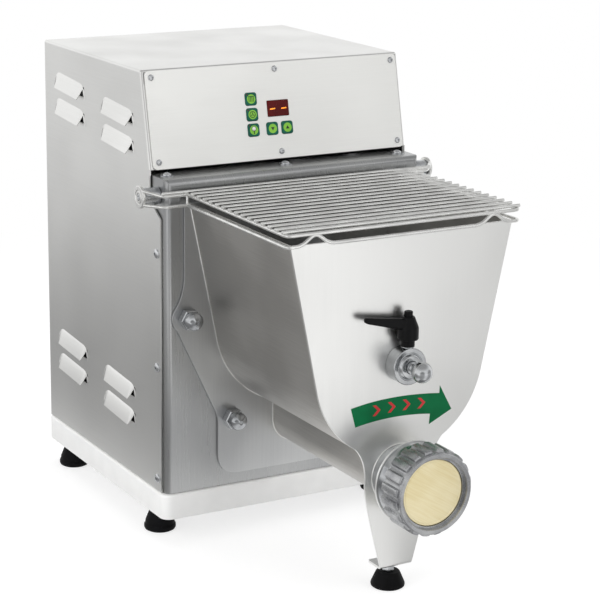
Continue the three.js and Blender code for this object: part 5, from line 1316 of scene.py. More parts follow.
        if mark is Mark.STRANDS:
            form = put([(-3.6, 2.6), (3.6, 2.6), (3.6, 3.4), (-3.6, 3.4)])
            for a in (-2.9, -1.0, 0.9, 2.8):
                form.add(put([(a - 0.45, -3.2), (a + 0.25, -3.4), (a + 0.45, 2.7), (a - 0.35, 2.7)]))
            return form, None
        if mark is Mark.ROTOR:
            form = put(circle(3.9), circle(3.1))
            for turn in (90, 210, 330):
                tip = arc(0, 0, 2.5, turn - 12, turn + 12, 2)
                form.add(put([*tip, *arc(0, 0, 0.5, turn + 70, turn - 70, 2)]))
            return form, None
        if mark is Mark.SPOON:
            stem = put([(-0.6, -4.6), (0.6, -4.6), (0.5, 0.4), (-0.5, 0.4)])
            stem.add(put(circle(2.9, 0.0, 1.6), circle(2.3, 0.0, 1.6)))
            return stem, put(circle(2.3, 0.0, 1.6))
        way = 1 if mark is Mark.UP else -1
        return put([(-2.4, -1.6 * way), (2.4, -1.6 * way), (0.0, 2.4 * way)][::way]), None


@dataclass
class Trough(Assembly):
    """Kneading trough: rear plate, rolled side sheet, front plate with its leg, and the clamp nuts."""

    mixer_z: float = 263.0
    auger_z: float = 137.0
    radius: float = 106.0
    skin: float = 2.5
    top: float = 406.0
    lean: float = 11.9
    channel: float = 30.0
    sheet_ends: Pair = (-230.5, -3.6)
    front: float = 233.8
    plate: float = 3.0
    rear_faces: Pair = (-3.3, -0.3)
    rear_half: float = 145.5
    rear_corner: Profile = ((76.0, 77.0), (102.5, 77.0), (102.5, 106.0))
    lug_root: Profile = ((102.5, 143.0), (103.2, 151.0), (107.0, 159.0))
    lug_arc: Pair = (-47.4, 42.6)
    lug_shoulder: Profile = ((156.06, 285.92), (145.5, 302.0), (145.5, 325.0))
    lug: Pair = (142.0, 273.0)
    lug_radius: float = 19.0
    low_nut: Pair = (85.0, 146.0)
    leg_half: float = 42.5
    leg_foot_half: float = 20.0
    leg_bend: float = 5.0
    leg_floor: float = 27.5
    leg_shoulder: Profile = ((24.0, 44.0), (42.5, 113.0), (42.5, 126.0))
    hip: Profile = ((42.5, 137.4), (42.5, 158.6))
    flange: float = 27.5
    neck_hole: float = 34.3
    boss_hole: float = 14.3
    stud_back: float = 17.0
    rod: Profile = ((0, 9.3), (4, 9.3), (4, 42.0), (3.4, 42.5), (0, 42.5))
    upper_nut: Profile = ((0, 30.8), (7.1, 30.8), (7.5, 31.3), (7.5, 36.0), (7.0, 36.5), (0, 36.5))
    lower_nut: Profile = ((0, 18.3), (7.1, 18.3), (7.5, 18.8), (7.5, 26.7), (7.0, 27.2), (0, 27.2))
    pad_profile: Profile = (
        (0, 0.6), (9, 0.6), (10, 0), (17.2, 0), (18.8, 1.2), (19.2, 3.0), (18.8, 4.8), (13.6, 16.6),
        (12.6, 17.8), (11.6, 18), (4.6, 18), (4.3, 17.6), (4.3, 9.0), (0, 9.0))
    nut_body: Profile = ((0, -3.6), (12.0, -3.6), (12.7, -4.4), (12.7, -13.6), (11.6, -14.6), (0, -14.6))
    nut_dome: Triple = (10.5, -21.5, 7.1)
    bead: float = 0.9
    bead_y: float = -4.1
    bead_out: float = 0.5
    fillet: float = 1.2
    fillet_bore: float = 34.1
    nut_flange: float = 46.2
    nut_flange_ends: Pair = (-259.4, -262.0)

    def build(self) -> None:
        """Makes every piece of the trough."""
        self.piece("trough_rear_plate", self.rear_plate(), REAR_STEEL_PAINTED_SHADE, ["hopper_rear_plate"], edge=Edge(0.5))
        self.piece("trough_sheet", self.side_sheet(), TROUGH_STEEL_PAINTED_SHADE, ["hopper_trough"], edge=Edge(0.5))
        self.piece("trough_front_plate", self.front_plate(), FRONT_STEEL_PAINTED_LIGHT, ["hopper_front_plate"],
                   sheet=self.plate, edge=Edge(0.45))
        self.piece("trough_weld", self.weld(), WELD_STEEL)
        self.piece("neck_collar", self.collar(), FRONT_STEEL_PAINTED_LIGHT)
        self.piece("foot_stud", self.stud(), TURNED_SMALL, ["leg_stud"], edge=Edge(0.3))
        pad = Form().turned(Axis.Z, self.pad_profile, (0.0, self.stud_back - self.front, 0.0), 56)
        self.piece("foot_pad", pad, FOOT_RUBBER, ["leg_pad"])
        nuts = [f"clamp_nut_{level}_{side}" for level in ("upper", "lower") for side in ("left", "right")]
        self.piece("domed_nuts", self.nuts(), TURNED_BARREL, nuts, edge=Edge(0.3))

    def rim(self, bowl: float) -> float:
        """Gives half the trough's width at its rim, for a bowl of a radius."""
        lean = math.radians(self.lean)
        return bowl * math.cos(lean) + (self.top - self.mixer_z + bowl * math.sin(lean)) * math.tan(lean)

    def rear_plate(self) -> Form:
        """Draws the rear plate with its two lugs and its waist."""
        right = [(0.0, self.rear_corner[0][1]), *bow(*self.rear_corner), *bow(*self.lug_root, 6),
                 *arc(*self.lug, self.lug_radius, *self.lug_arc, 16), *bow(*self.lug_shoulder)[1:],
                 (self.rear_half, self.top)]
        outline = right + [(-a, b) for a, b in reversed(right[1:])]
        return Form().plate([outline], *self.rear_faces, upright)

    def section(self, inset: float) -> list[Pair]:
        """Gives the line across the trough from rim to rim, drawn in by an inset."""
        bowl, groove = self.radius - inset, self.channel - inset
        mouth = math.degrees(math.asin(groove / bowl))
        rim = self.rim(bowl)
        right = arc(0, self.mixer_z, bowl, 360 - self.lean, 270 + mouth, 28)
        return [(rim, self.top), *right, *arc(0, self.auger_z, groove, 0, -180, 28),
                *[(-a, b) for a, b in reversed(right)], (-rim, self.top)]

    def side_sheet(self) -> Form:
        """Rolls the side sheet with its auger channel."""
        outline = self.section(0.0) + self.section(self.skin)[::-1]
        return Form().plate([outline], *self.sheet_ends, upright)

    def weld(self) -> Form:
        """Runs the weld bead where the side sheet meets the rear plate."""
        return Form().tube([(x, self.bead_y, z) for x, z in self.section(-self.bead_out)], self.bead, 8)

    def front_plate(self) -> Form:
        """Folds the front plate, its leg ending in a flange that turns back."""
        r, bend, foot = self.radius, self.leg_bend, self.leg_foot_half
        hip = math.degrees(math.asin(1.3 * self.leg_half / r))
        start = self.leg_floor + bend
        bent = bend * math.pi / 2
        end = start - bent - (self.flange - bend)
        bowl = arc(0, self.mixer_z, r, 270 + hip, 360 - self.lean, 24)
        right = [(foot - 2.0, end), (foot, end + 2.0), (foot, start - 3.5), *bow(*self.leg_shoulder, 8)[1:],
                 *bow(*self.hip, bowl[0], 8)[:-1], *bowl, (self.rim(r), self.top)]
        outline = [(-a, b) for a, b in right[::-1]] + right
        holes = [circle(self.neck_hole, 0, self.auger_z, 60), circle(self.boss_hole, 0, self.mixer_z)]

        def fold(x: float, b: float) -> Triple:
            under = start - b
            if under <= 0:
                return x, -self.front, b
            if under <= bent:
                turn = under / bend
                return x, -self.front + bend * (1 - math.cos(turn)), start - bend * math.sin(turn)
            return x, -self.front + bend + under - bent, self.leg_floor

        folds = [(1, start - bent * i / 8) for i in range(9)]
        return Form().pattern([outline, *holes], folds, fold)

    def collar(self) -> Form:
        """Makes the weld fillet between the front plate and the neck, and the flange behind the ring nut."""
        inner, back, fillet = self.fillet_bore, 0.5 - self.front, self.fillet
        root = [(inner + out, -self.front - down) for down, out in quarter(fillet, 6)]
        centre = (0.0, 0.0, self.auger_z)
        weld = [(inner, back), (inner + fillet, back), *root, (inner, back)]
        rim, (rear, front) = self.nut_flange, self.nut_flange_ends
        return Form().turned(Axis.Y, weld, centre, 96).turned(Axis.Y, [
            (inner, rear), (rim - 0.5, rear), (rim, rear - 0.5), (rim, front + 0.5), (rim - 0.5, front),
            (inner, front), (inner, rear)], centre, 96)

    def stud(self) -> Form:
        """Makes the leg's stud with its two nuts."""
        centre = (0.0, self.stud_back - self.front, 0.0)
        form = Form().turned(Axis.Z, self.rod, centre, 24)
        for nut in (self.upper_nut, self.lower_nut):
            form.turned(Axis.Z, nut, centre, 6)
        return form

    def nuts(self) -> Form:
        """Makes the four domed nuts on their studs."""
        form = Form()
        radius, start, tall = self.nut_dome
        dome = [(radius * math.cos(a), start - tall * math.sin(a)) for a in turns(0, 75, 5)]
        for x, z in (self.lug, self.low_nut):
            nut = Form().turned(Axis.Y, self.nut_body, sides=6)
            nut.turned(Axis.Y, [
                (0, -14.0), (9.6, -14.0), (9.6, -15.4), (radius, -16.0), *dome, (2.4, start - tall),
                (1.8, -27.4), (0, -27.4)], sides=40)
            Row(2, (-x, 0.0, z), (2 * x, 0.0, 0.0)).repeat(nut, TURNED_BARREL, form)
        return form


@dataclass
class Extruder(Assembly):
    """Neck, auger, die and ring nut."""

    axis: Triple = (0.0, 0.0, 137.0)
    bore: float = 27.5
    neck: float = 34.0
    neck_end: float = -231.0
    head_radius: float = 43.0
    head_face: float = -292.0
    shoulder: Triple = (44.6, -262.2, -273.8)
    crest: float = 42.9
    groove: float = 41.6
    thread_start: float = -279.0
    thread_pitch: float = 3.0
    core: float = 13.0
    core_ends: Profile = (
        (0, -291.4), (6.5, -291.4), (13, -278.4), (13, -6.9), (10.3, -6.9), (10.3, -28.9), (0, -28.9))
    pitch: float = 38.0
    flight: Pair = (-271.4, -13.9)
    flight_steps: int = 40
    die_profile: Profile = (
        (0, -292.3), (39.0, -292.3), (39.0, -298.0), (37.0, -298.0), (37.0, -301.4), (36.4, -302.0),
        (34.6, -302.0), (34.3, -301.7), (0, -301.7))
    root: float = 45.4
    lobe: float = 3.5
    lobes: int = 20
    lobe_steps: int = 12
    lobe_end: float = 4.0
    rear: float = -275.0
    lobe_face: float = -304.0
    face: float = -308.0
    mouth: float = 40.0
    mouth_depth: float = 5.0
    seat: Pair = (37.3, -298.3)
    nut_bore: float = 43.3
    chamfer: float = 1.2

    def build(self) -> None:
        """Makes the turned pieces and the lobed nut."""
        self.piece("neck_and_head", self.head(), TURNED_BARREL, ["extruder_head"], edge=Edge())
        self.piece("auger_screw", self.auger(), TURNED_BARREL, ["auger"], "auger_drive", Edge(0.3, 1))
        self.piece("die", Form().turned(Axis.Y, self.die_profile, self.axis, 96), DIE_BRONZE, ["die_disc"],
                   "die", Edge())
        self.piece("lobed_nut", self.nut(), CAST_ALUMINIUM, ["ring_nut"], "nut", Edge(0.3))

    def head(self) -> Form:
        """Turns the neck and its threaded head, with the thread's crests and the rounded shoulder."""
        thread = []
        for k in range(4):
            y = self.thread_start - self.thread_pitch * k
            thread += [(self.crest, y), (self.crest, y - 1.0), (self.groove, y - 1.6), (self.groove, y - 2.2)]
        head, face, (wide, back, front) = self.head_radius, self.head_face, self.shoulder
        return Form().turned(Axis.Y, [
            (self.bore, self.neck_end), (self.bore, face), (head - 1.0, face), (head, face + 1.0),
            *reversed(thread), (head, front - 1.8), (wide - 0.6, front - 0.6), (wide, front), (wide, back),
            (self.neck, back), (self.neck, self.neck_end), (self.bore, self.neck_end)], self.axis, 96)

    def auger(self) -> Form:
        """Winds the flight round the core."""
        foot, tip = self.core - 0.6, self.bore - 0.5
        section = ((foot, -3.5), (tip - 0.4, -1.6), (tip, -1.2), (tip, 1.2), (tip - 0.4, 1.6), (foot, 3.5))
        first, last = self.flight
        rings = []
        for i in range(int((last - first) / self.pitch * self.flight_steps) + 1):
            angle, y = TAU * i / self.flight_steps, first + self.pitch * i / self.flight_steps
            rings.append([Vector((r * math.sin(angle), y + a, self.axis[2] + r * math.cos(angle)))
                          for r, a in section])
        return Form().turned(Axis.Y, self.core_ends, self.axis, 48).skin(rings)

    def nut(self) -> Form:
        """Lofts the nut: its lobes run out in a round end before the lip."""
        steps = self.lobe_steps * self.lobes
        rear, root, face, mouth, bead = self.rear, self.root, self.face, self.mouth, self.lobe_end

        def swell(k: int) -> float:
            share = (k % self.lobe_steps) / self.lobe_steps
            rise = min(1.0, max(0.0, (0.36 - abs(share - 0.5)) / 0.13))
            return rise * rise * (3 - 2 * rise)

        def ring(y: float, radius: float, height: float) -> list[Vector]:
            radii = [radius + self.lobe * height * swell(k) for k in range(steps)]
            return [Vector(self.axis) + Axis.Y.place(r, TAU * k / steps, y) for k, r in enumerate(radii)]

        end = [(self.lobe_face + bead * (1 - math.sin(a)), root, math.cos(a) ** 0.6) for a in turns(0, 75, 5)]
        seat, seat_y = self.seat
        floor = face + self.mouth_depth
        outside = [(rear, root - 1.0, 0.0), (rear - 0.6, root - 0.2, 0.6), (rear - 1.4, root, 1.0), *end,
                   (self.lobe_face, root, 0.0), (face + self.chamfer, root, 0.0),
                   (face, root - self.chamfer, 0.0)]
        bore = [(face, mouth + 0.6, 0.0), (face + 0.6, mouth, 0.0), (floor, mouth, 0.0), (floor, seat, 0.0),
                (seat_y, seat, 0.0), (seat_y, self.nut_bore, 0.0), (rear, self.nut_bore, 0.0)]
        return Form().skin([ring(*r) for r in outside + bore], loop=True)


@dataclass
class FrontBearing(Assembly):
    """Bearing boss, its pull pin, and the clamp lever on its screw."""

    axis: Triple = (0.0, 0.0, 263.0)
    lever_axis: Triple = (0.0, -245.5, 263.0)
    boss_profile: Profile = (
        (7.3, -231.1), (14.0, -231.1), (14.0, -234.1), (20.0, -234.1), (20.5, -234.6), (20.5, -251.3),
        (19.8, -252.0), (15.6, -252.0), (15.2, -251.3), (14.4, -251.3), (14.0, -252.2), (12.6, -254.4),
        (11.6, -255.0), (7.3, -255.0), (7.3, -231.1))
    ball: float = 11.5
    ball_y: float = -274.5
    pin_tip: Pair = (0, -286.0)
    pin_shank: Profile = (
        (4.5, -263.8), (4.5, -260.2), (5.4, -258.6), (7.0, -258.0), (7.0, -217.8), (6.0, -216.8), (0, -216.8))
    collar_foot: float = 20.8
    collar_height: float = 0.8
    hub_foot: float = 21.9
    hub_height: float = 32.6
    hub: float = 11.5
    neck: float = 7.5
    bore: float = 4.3
    cap_bore: float = 5.05
    reach: float = 52.0
    arm_up: float = 23.4
    rise: float = 10.6
    arm: tuple[Triple, ...] = (
        (0.1, 10.4, 13.6), (0.2, 10.0, 12.8), (0.5, 8.6, 10.2), (0.85, 7.4, 7.8), (0.95, 7.0, 7.2),
        (1.01, 5.8, 6.0), (1.04, 4.2, 4.4), (1.055, 2.0, 2.2))

    def build(self) -> None:
        """Makes the bearing's turned pieces and the moulded lever."""
        boss = Form().turned(Axis.Y, self.boss_profile, self.axis, 80)
        self.piece("boss", boss, TURNED_STEEL, ["bearing_boss"], edge=Edge(0.3))
        self.piece("ball_pin", self.pin(), TURNED_STEEL, ["pull_pin"], "bearing_pin", Edge(0.2, 1))
        self.piece("lever_screw", self.screw(), TURNED_SMALL, ["clamp_screw"], "screw", Edge(0.2, 1))
        self.piece("lever", self.lever(), LEVER_PLASTIC, ["clamp_lever"], "lever", Edge(0.5))
        self.piece("lever_cap", self.button(), LEVER_PLASTIC, ["lever_button"], "screw", Edge())

    def pin(self) -> Form:
        """Turns the pin with its collar, neck and ball."""
        ball = [(self.ball * math.sin(a), self.ball_y - self.ball * math.cos(a)) for a in turns(10, 154, 18)]
        return Form().turned(Axis.Y, [self.pin_tip, *ball, *self.pin_shank], self.axis, 64)

    def screw(self) -> Form:
        """Turns the clamp screw with its thin collar."""
        foot, head, wide = self.collar_foot, self.collar_foot + self.collar_height, self.neck
        shank = self.hub_foot + self.hub_height - 4.0
        return Form().turned(Axis.Z, [
            (0, 7.3), (3.2, 7.3), (4, 8.1), (4, foot), (wide - 0.2, foot), (wide, foot + 0.2),
            (wide, head - 0.2), (wide - 0.2, head), (4, head), (4, shank), (0, shank)], self.lever_axis, 32)

    def lever(self) -> Form:
        """Moulds the hub and its tapering arm, whose sections are given by their share of the reach."""
        foot, hub, neck, bore, cap = self.hub_foot, self.hub, self.neck, self.bore, self.cap_bore
        top = foot + self.hub_height
        form = Form().turned(Axis.Z, [
            (bore, foot), (neck - 0.3, foot), (neck, foot + 0.6), (neck, foot + 6.6),
            (neck + 0.3, foot + 7.0), (hub - 0.8, foot + 7.4), (hub, foot + 8.4), (hub, foot + 19.6),
            (hub - 0.3, foot + 21.4), (7.3, top - 1.2), (6.5, top), (cap, top), (cap, top - 8),
            (bore, top - 8), (bore, foot)], self.lever_axis, 56)
        x, y, z = self.lever_axis
        middle = z + foot + self.arm_up
        rings = []
        for share, width, tall in self.arm:
            centre = Vector((x - self.reach * share, y, middle + self.rise * share))
            rings.append([centre + Vector((0.0, a, b))
                          for a, b in rounded(width, tall, min(width, tall) * 0.34, steps=6)])
        return form.add(Form().skin(rings))

    def button(self) -> Form:
        """Turns the button in the top of the hub."""
        top = self.hub_foot + self.hub_height
        return Form().turned(Axis.Z, [
            (0, top - 3.7), (4.75, top - 3.7), (4.75, top + 5.2), (4.2, top + 6.0), (2.0, top + 6.0),
            (1.8, top + 5.2), (0, top + 5.2)], self.lever_axis, 32)


@dataclass
class Mixer(Assembly):
    """Mixing shaft with its arms and paddles."""

    body: str = "mixer"
    axis: Triple = (0.0, 0.0, 263.0)
    arms: int = 6
    arm: Profile = ((0, 0), (6, 0), (6, 82), (5, 84), (0, 84))
    front: float = -227.8
    rear: float = -6.9
    radius: float = 12.5
    front_bore: Pair = (7.3, -216.5)
    rear_bore: Pair = (10.3, -28.9)

    def build(self) -> None:
        """Turns the core and sets the arms along it, an eighth of a turn apart."""
        form = self.core()
        step = (self.rear - self.front) / self.arms
        arm = Form().turned(Axis.Z, self.arm, sides=28)
        arm.plate([rounded(28.0, 16.0, 3.0, 0.0, 88.0, 4)], -2.5, 2.5, lambda a, b, level: (level, a, b))
        Row(self.arms, (0.0, self.front + step / 2, self.axis[2]), (0.0, step, 0.0), (0, 90, 0),
            (0, 45, 0)).repeat(arm, TURNED_BARREL, form)
        self.piece("mixing_arms", form, TURNED_BARREL, ["mixing_shaft"], edge=Edge(0.5))

    def core(self) -> Form:
        """Turns the hollow-ended core."""
        (near, near_end), (far, far_end) = self.front_bore, self.rear_bore
        r, front, rear = self.radius, self.front, self.rear
        return Form().turned(Axis.Y, [
            (0, near_end), (near, near_end), (near, front), (r - 0.7, front), (r, front + 0.8),
            (r, rear - 0.8), (r - 0.7, rear), (far, rear), (far, far_end), (0, far_end)], self.axis, 48)


@dataclass
class Guard(Assembly):
    """Wire guard over the trough, with its hinges at the sides of the cover."""

    body: str = "guard"
    wire: float = 2.0
    half: float = 145.0
    rear: float = -9.5
    front: float = -238.0
    lower: float = 406.0
    upper: float = 418.0
    bars: int = 16
    bend: float = 7.0
    hump_x: float = 111.0
    hump_half: float = 17.0
    hinge: Pair = (20.0, 414.0)
    disc: Profile = ((4.3, 2.0), (6.9, 2.0), (7.2, 1.3), (7.9, 1.3), (8.2, 2.0), (12.2, 2.0), (13.0, 1.2))
    disc_wires: Pair = (-8.5, 8.0)
    hub_start: float = 161.25
    hub_inner: float = 167.55
    hub_outer: float = 187.55
    arm_x: float = 189.85
    stay: float = 176.0
    elbow: float = 174.0

    def build(self) -> None:
        """Makes the grille, both arms and the hinge pins."""
        self.piece("grille", self.grille(), WIRE_STEEL, ["guard_grille"])
        for side, name in ((-1, "left"), (1, "right")):
            self.piece(f"hinge_arm_{name}", self.arm(side), WIRE_STEEL, [f"guard_arm_{name}"], edge=Edge())
            self.piece(f"hinge_hub_{name}", self.hub(side), TURNED_SMALL, [f"hinge_pin_{name}"],
                       "machine_body", Edge())

    def grille(self) -> Form:
        """Bends the two frame wires and lays the cross bars over them."""
        half, rear, front, wire = self.half, self.rear, self.front, self.wire

        def frame(z: float, middle: list[Triple]) -> list[Vector]:
            corners = [(-half, rear, z), (-half, front, z), *middle, (half, front, z), (half, rear, z)]
            return eased(corners, self.bend)

        form = Form().tube(frame(self.upper, []), wire)
        humps: list[Triple] = []
        for x in (-self.hump_x, self.hump_x):
            humps += [(x - self.hump_half, front, self.lower), (x, front, self.upper + 0.5),
                      (x + self.hump_half, front, self.lower)]
        form.tube(frame(self.lower, humps), wire)
        rest, end = self.upper + 2 * wire - 0.6, half + wire + 0.6
        form.tube([(-self.stay, rear, rest), (self.stay, rear, rest)], wire)
        step = (front - rear + 2.5 * wire) / (self.bars - 1)
        Row(self.bars - 1, (0.0, rear + step, rest), (0.0, step, 0.0)).repeat(
            Form().tube([(-end, 0, 0), (end, 0, 0)], wire), WIRE_STEEL, form)
        for side in (-1, 1):
            form.tube([(side * half, rear, self.lower), (side * half, rear, self.upper)], wire)
        return form

    def arm(self, side: int) -> Form:
        """Makes a hinge disc with the two wires that run to the grille."""
        y, z = self.hinge
        x = side * self.arm_x
        back = [(r, -a) for r, a in reversed(self.disc)]
        form = Form().turned(Axis.X, [*self.disc, *back, self.disc[0]], (x, y, z), 56)
        before, apart = self.disc_wires
        for start, level in ((z + apart, self.upper), (z - apart, self.lower)):
            form.tube(eased([(x, y + before, start), (side * self.elbow, self.rear, level),
                             (side * (self.half + 2.3), self.rear, level)], 6.0, 12), self.wire)
        return form

    def hub(self, side: int) -> Form:
        """Turns the fixed hub with its bolt and the bolt's round head."""
        start, inner, outer, end = self.hub_start, self.hub_inner, self.hub_outer, self.arm_x + 2.0
        return Form().turned(Axis.X, [(r, side * a) for r, a in (
            (0, start), (4, start), (4, inner), (9.4, inner), (10, inner + 0.6), (10, outer - 0.55),
            (9.4, outer), (4, outer), (4, end - 0.4), (3.4, end), (1.6, end), (1.4, end - 1.0),
            (0, end - 1.0))], (0.0, *self.hinge), 40)


@dataclass
class Arrow(Assembly):
    """Turning arrow printed on the front plate, with plain chevrons in its band."""

    face: float = -233.8
    film: float = 0.12
    top: Profile = ((-62.3, 219.7), (-12.0, 229.5), (50.0, 221.5))
    foot: Profile = ((-56.3, 198.0), (-10.0, 206.5), (38.5, 199.5))
    head: Profile = ((50.4, 230.4), (66.4, 201.1), (37.5, 187.6))
    chevrons: int = 4
    first_x: float = -30.0
    step: float = 19.0
    middle: float = 212.3
    sag: float = 2.4

    def build(self) -> None:
        """Prints the band and its chevrons, which follow the band's bow."""
        outline = bow(*self.top, 24) + [*self.head] + bow(*self.foot, 24)[::-1]
        face = self.face - self.film
        self.piece("turning_arrow", Form().plate([outline], self.face, face, upright), ARROW_PRINT)
        form = Form()
        for i in range(self.chevrons):
            x, z = self.first_x + self.step * i, self.middle + self.sag * math.sin(math.radians(30 + 38 * i))
            chevron = [(x - 5, z + 6), (x - 1, z + 6), (x + 5, z), (x - 1, z - 6), (x - 5, z - 6), (x + 1, z)]
            form.add(Form().plate([chevron], face + SUNK, face - self.film, upright))
        self.piece("arrow_chevrons", form, CHEVRON_PRINT)


# What stays as the CAD has it

DRESSES: dict[str, Finish] = {
    "rear_panel": CASING_STEEL, "mounting_plate": GROUND_STEEL, "control_board": BOARD_RESIN,
    "gear_case": CASE_ALUMINIUM, "gear_case_cover": CASE_ALUMINIUM, "geared_motor": MOTOR_PAINT,
    "motor_pinion": GROUND_STEEL, "mixer_gear": GROUND_STEEL, "auger_gear": GROUND_STEEL,
    "mixer_drive_shaft": GROUND_STEEL, "auger_drive_shaft": GROUND_STEEL, "mixer_bush": BUSH_BRONZE,
    "auger_bush": BUSH_BRONZE, "guard_sensor": LEVER_PLASTIC}


def dress(nodes: dict[str, bpy.types.Object]) -> None:
    """Gives the CAD nodes that stay their finishes."""
    for name, finish in DRESSES.items():
        mesh = nodes[name].data
        mesh.materials.clear()
        mesh.materials.append(finish.material())
        log.info("dressed %s", name)


# Studio

@dataclass(frozen=True)
class Lamp:
    """A square soft light that faces a place."""

    name: str
    place: Triple
    target: Triple
    size: float
    power: float

    def light(self) -> None:
        """Hangs the light."""
        data = bpy.data.lights.new(self.name, "AREA")
        data.shape, data.size, data.energy = "SQUARE", self.size, self.power
        lamp = bpy.data.objects.new(self.name, data)
        lamp.visible_glossy = False
        lamp.location = self.place
        lamp.rotation_euler = (Vector(self.target) - Vector(self.place)).to_track_quat("-Z", "Y").to_euler()
        bpy.context.scene.collection.objects.link(lamp)


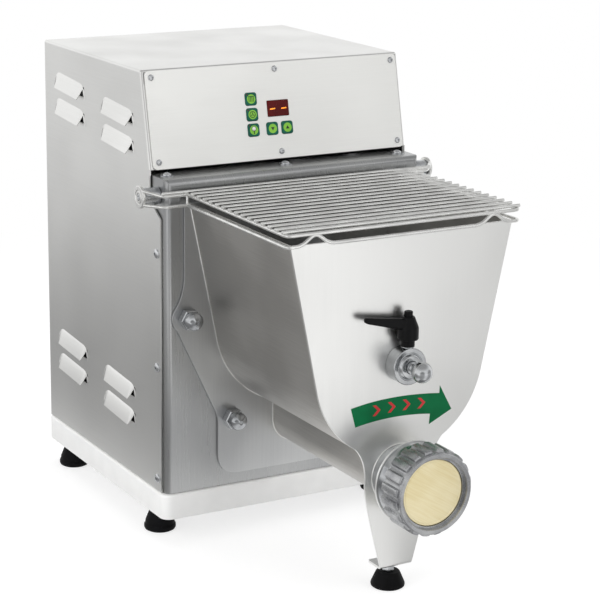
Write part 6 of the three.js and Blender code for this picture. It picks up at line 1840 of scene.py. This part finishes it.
@dataclass(frozen=True)
class Studio:
    """Floor, world, lamps and camera, in metres."""

    lamps: tuple[Lamp, ...] = (
        Lamp("key_light", (1.4, -2.6, 2.2), (0.0, -0.1, 0.25), 2.6, 38.0),
        Lamp("fill_light", (-2.6, -1.0, 1.4), (0.0, 0.0, 0.2), 2.4, 44.0),
        Lamp("top_light", (0.0, 0.4, 3.0), (0.0, 0.0, 0.3), 2.4, 22.0))
    ambient: float = 0.52
    zenith: float = 0.42
    zenith_from: Pair = (0.35, 0.9)
    unlit: tuple[tuple[Triple, float, float], ...] = (
        ((-0.47, -0.88, 0.0), 0.86, 0.34), ((0.82, -0.57, 0.0), 0.86, 0.38))
    unlit_core: float = 0.97
    floor_radius: float = 14.0
    floor_start: Triple = (0.0, 0.25, 0.0)
    floor_fade: Pair = (0.9, 1.8)
    # The glow that metal mirrors is painted darker near the machine and darkest behind it to the left.
    painted_shadow_x: Pair = (-0.35, -0.1)
    painted_shadow_y: Pair = (-0.9, -0.3)
    painted_shade_reach: Pair = (0.3, 1.3)
    painted_shadow_reach: Pair = (0.8, 3.0)
    painted_shade_paper: Pair = (0.72, 0.98)
    painted_shadow_paper: Pair = (0.1, 0.6)
    paper_seen: Pair = (0.42, 0.7)
    paper_mirrored: float = 0.2
    paper_lit: float = 0.8
    lens: float = 122.65
    shift: Pair = (0.06, -0.06)
    eye: Triple = (-1.13870, -2.03504, 0.89845)
    yaw: float = -28.60
    pitch: float = 14.06
    roll: float = 0.47

    def build(self) -> None:
        """Sets up the stage."""
        self.floor()
        self.world()
        for lamp in self.lamps:
            lamp.light()
        self.camera()
        bpy.context.scene.view_settings.view_transform = "Standard"

    def reflected(self, nodes: Nodes) -> Socket:
        """Gives a switch that is one for rays from a reflection or through a glass."""
        rays = nodes.add("ShaderNodeLightPath")
        return nodes.calc("MAXIMUM", rays["Is Glossy Ray"], rays["Is Transmission Ray"])

    def seen(self, nodes: Nodes) -> Socket:
        """Gives a switch that is one for rays from the camera."""
        return nodes.add("ShaderNodeLightPath")["Is Camera Ray"]

    def unscreened(self, nodes: Nodes, way: Socket) -> Socket:
        """Dims the directions in which no white screen stands, as metal shows them."""
        factors = []
        for toward, edge, level in self.unlit:
            near = nodes.add("ShaderNodeVectorMath", {"operation": "DOT_PRODUCT", 0: way, 1: toward})["Value"]
            factors.append(nodes.slope(near, edge, self.unlit_core, 1.0, level))
        return nodes.product(*factors)

    def floor(self) -> None:
        """Lays a matt floor that shows white, fades into the background and still takes the shadow.

        The glow that metal mirrors is painted: darker near the machine, as painted shade, and darkest
        behind it to the left, as a painted shadow of the machine.
        """
        mesh = bpy.data.meshes.new("floor")
        ring = [(self.floor_radius * math.cos(a), self.floor_radius * math.sin(a), 0.0)
                for a in turns(0, 352.5, 47)]
        mesh.from_pydata(ring, [], [list(range(len(ring)))])
        floor = bpy.data.objects.new("floor", mesh)
        bpy.context.scene.collection.objects.link(floor)
        material = bpy.data.materials.new("matt_paper")
        nodes = Nodes.of(material)

        def paper(shade: float) -> Socket:
            return nodes.add("ShaderNodeBsdfDiffuse", {"Color": (shade, shade, shade, 1.0)})[0]

        def glowing(matt: Socket, strength: Socket | float) -> Socket:
            return nodes.add("ShaderNodeAddShader", {
                0: matt, 1: nodes.add("ShaderNodeEmission", {"Strength": strength})[0]})[0]

        def switch(share: Socket, first: Socket, second: Socket) -> Socket:
            return nodes.add("ShaderNodeMixShader", {0: share, 1: first, 2: second})[0]

        where = nodes.add("ShaderNodeTexCoord")["Object"]
        start = nodes.add("ShaderNodeVectorMath", {"operation": "ADD", 0: where, 1: self.floor_start})[0]
        away = nodes.add("ShaderNodeVectorMath", {"operation": "LENGTH", 0: start})["Value"]
        way = nodes.add("ShaderNodeVectorMath", {"operation": "NORMALIZE", 0: start})[0]
        parts = nodes.add("ShaderNodeSeparateXYZ", {0: where})
        # Painted shadow: the floor behind the machine and to its left, where the key light's shadow falls.
        behind = nodes.product(nodes.slope(parts["X"], *self.painted_shadow_x, 1.0, 0.0),
                               nodes.slope(parts["Y"], *self.painted_shadow_y))
        # The glow that metal mirrors: painted shade near the machine, and the painted shadow where the mask
        # is set.
        glow = nodes.add("ShaderNodeMix", {
            0: behind, 2: nodes.slope(away, *self.painted_shade_reach, *self.painted_shade_paper),
            3: nodes.slope(away, *self.painted_shadow_reach, *self.painted_shadow_paper)})[0]
        shade, lift = self.paper_seen
        seen = switch(nodes.slope(away, *self.floor_fade), glowing(paper(shade), lift),
                      nodes.add("ShaderNodeEmission", {"Strength": 1.0})[0])
        mirrored = glowing(paper(self.paper_mirrored), nodes.product(glow, self.unscreened(nodes, way)))
        lit = switch(self.reflected(nodes), paper(self.paper_lit), mirrored)
        nodes.add("ShaderNodeOutputMaterial", {"Surface": switch(self.seen(nodes), lit, seen)})
        mesh.materials.append(material)

    def world(self) -> None:
        """Surrounds the stage with even light, dimmer overhead and where no screen stands."""
        world = bpy.data.worlds.new("studio")
        nodes = Nodes.of(world)
        way = nodes.add("ShaderNodeTexCoord")["Generated"]
        height = nodes.add("ShaderNodeSeparateXYZ", {0: way})["Z"]
        screens = nodes.product(nodes.slope(height, *self.zenith_from, 1.0, self.zenith),
                                self.unscreened(nodes, way))
        lit = nodes.add("ShaderNodeMix", {0: self.reflected(nodes), 2: self.ambient, 3: screens})[0]
        strength = nodes.add("ShaderNodeMix", {0: self.seen(nodes), 2: lit, 3: 1.0})[0]
        back = nodes.add("ShaderNodeBackground", {"Color": (1.0, 1.0, 1.0, 1.0), "Strength": strength})[0]
        nodes.add("ShaderNodeOutputWorld", {"Surface": back})
        bpy.context.scene.world = world

    def camera(self) -> None:
        """Stands the camera where the photograph was taken from."""
        data = bpy.data.cameras.new("camera")
        data.lens, data.sensor_width, data.sensor_fit = self.lens, 36.0, "HORIZONTAL"
        data.shift_x, data.shift_y = self.shift
        data.clip_end = 60.0
        camera = bpy.data.objects.new("camera", data)
        camera.location = self.eye
        angles = ((self.yaw, "Z"), (90 - self.pitch, "X"), (self.roll, "Z"))
        yaw, pitch, roll = (Matrix.Rotation(math.radians(angle), 3, axis) for angle, axis in angles)
        camera.rotation_euler = (yaw @ pitch @ roll).to_euler()
        bpy.context.scene.collection.objects.link(camera)
        bpy.context.scene.camera = camera


def main() -> None:
    """Builds the machine's pieces in order and sets up the studio."""
    logging.basicConfig(level=logging.INFO, format="%(message)s")
    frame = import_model()
    Studio().build()
    for kind in (Base, Casing, FrontCover, ControlPanel, Trough, Extruder, FrontBearing, Mixer, Guard, Arrow):
        assembly = kind()
        assembly.build()
        assembly.report()
    dress(frame["nodes"])
    bpy.context.view_layer.update()


if __name__ == "__main__":
    main()
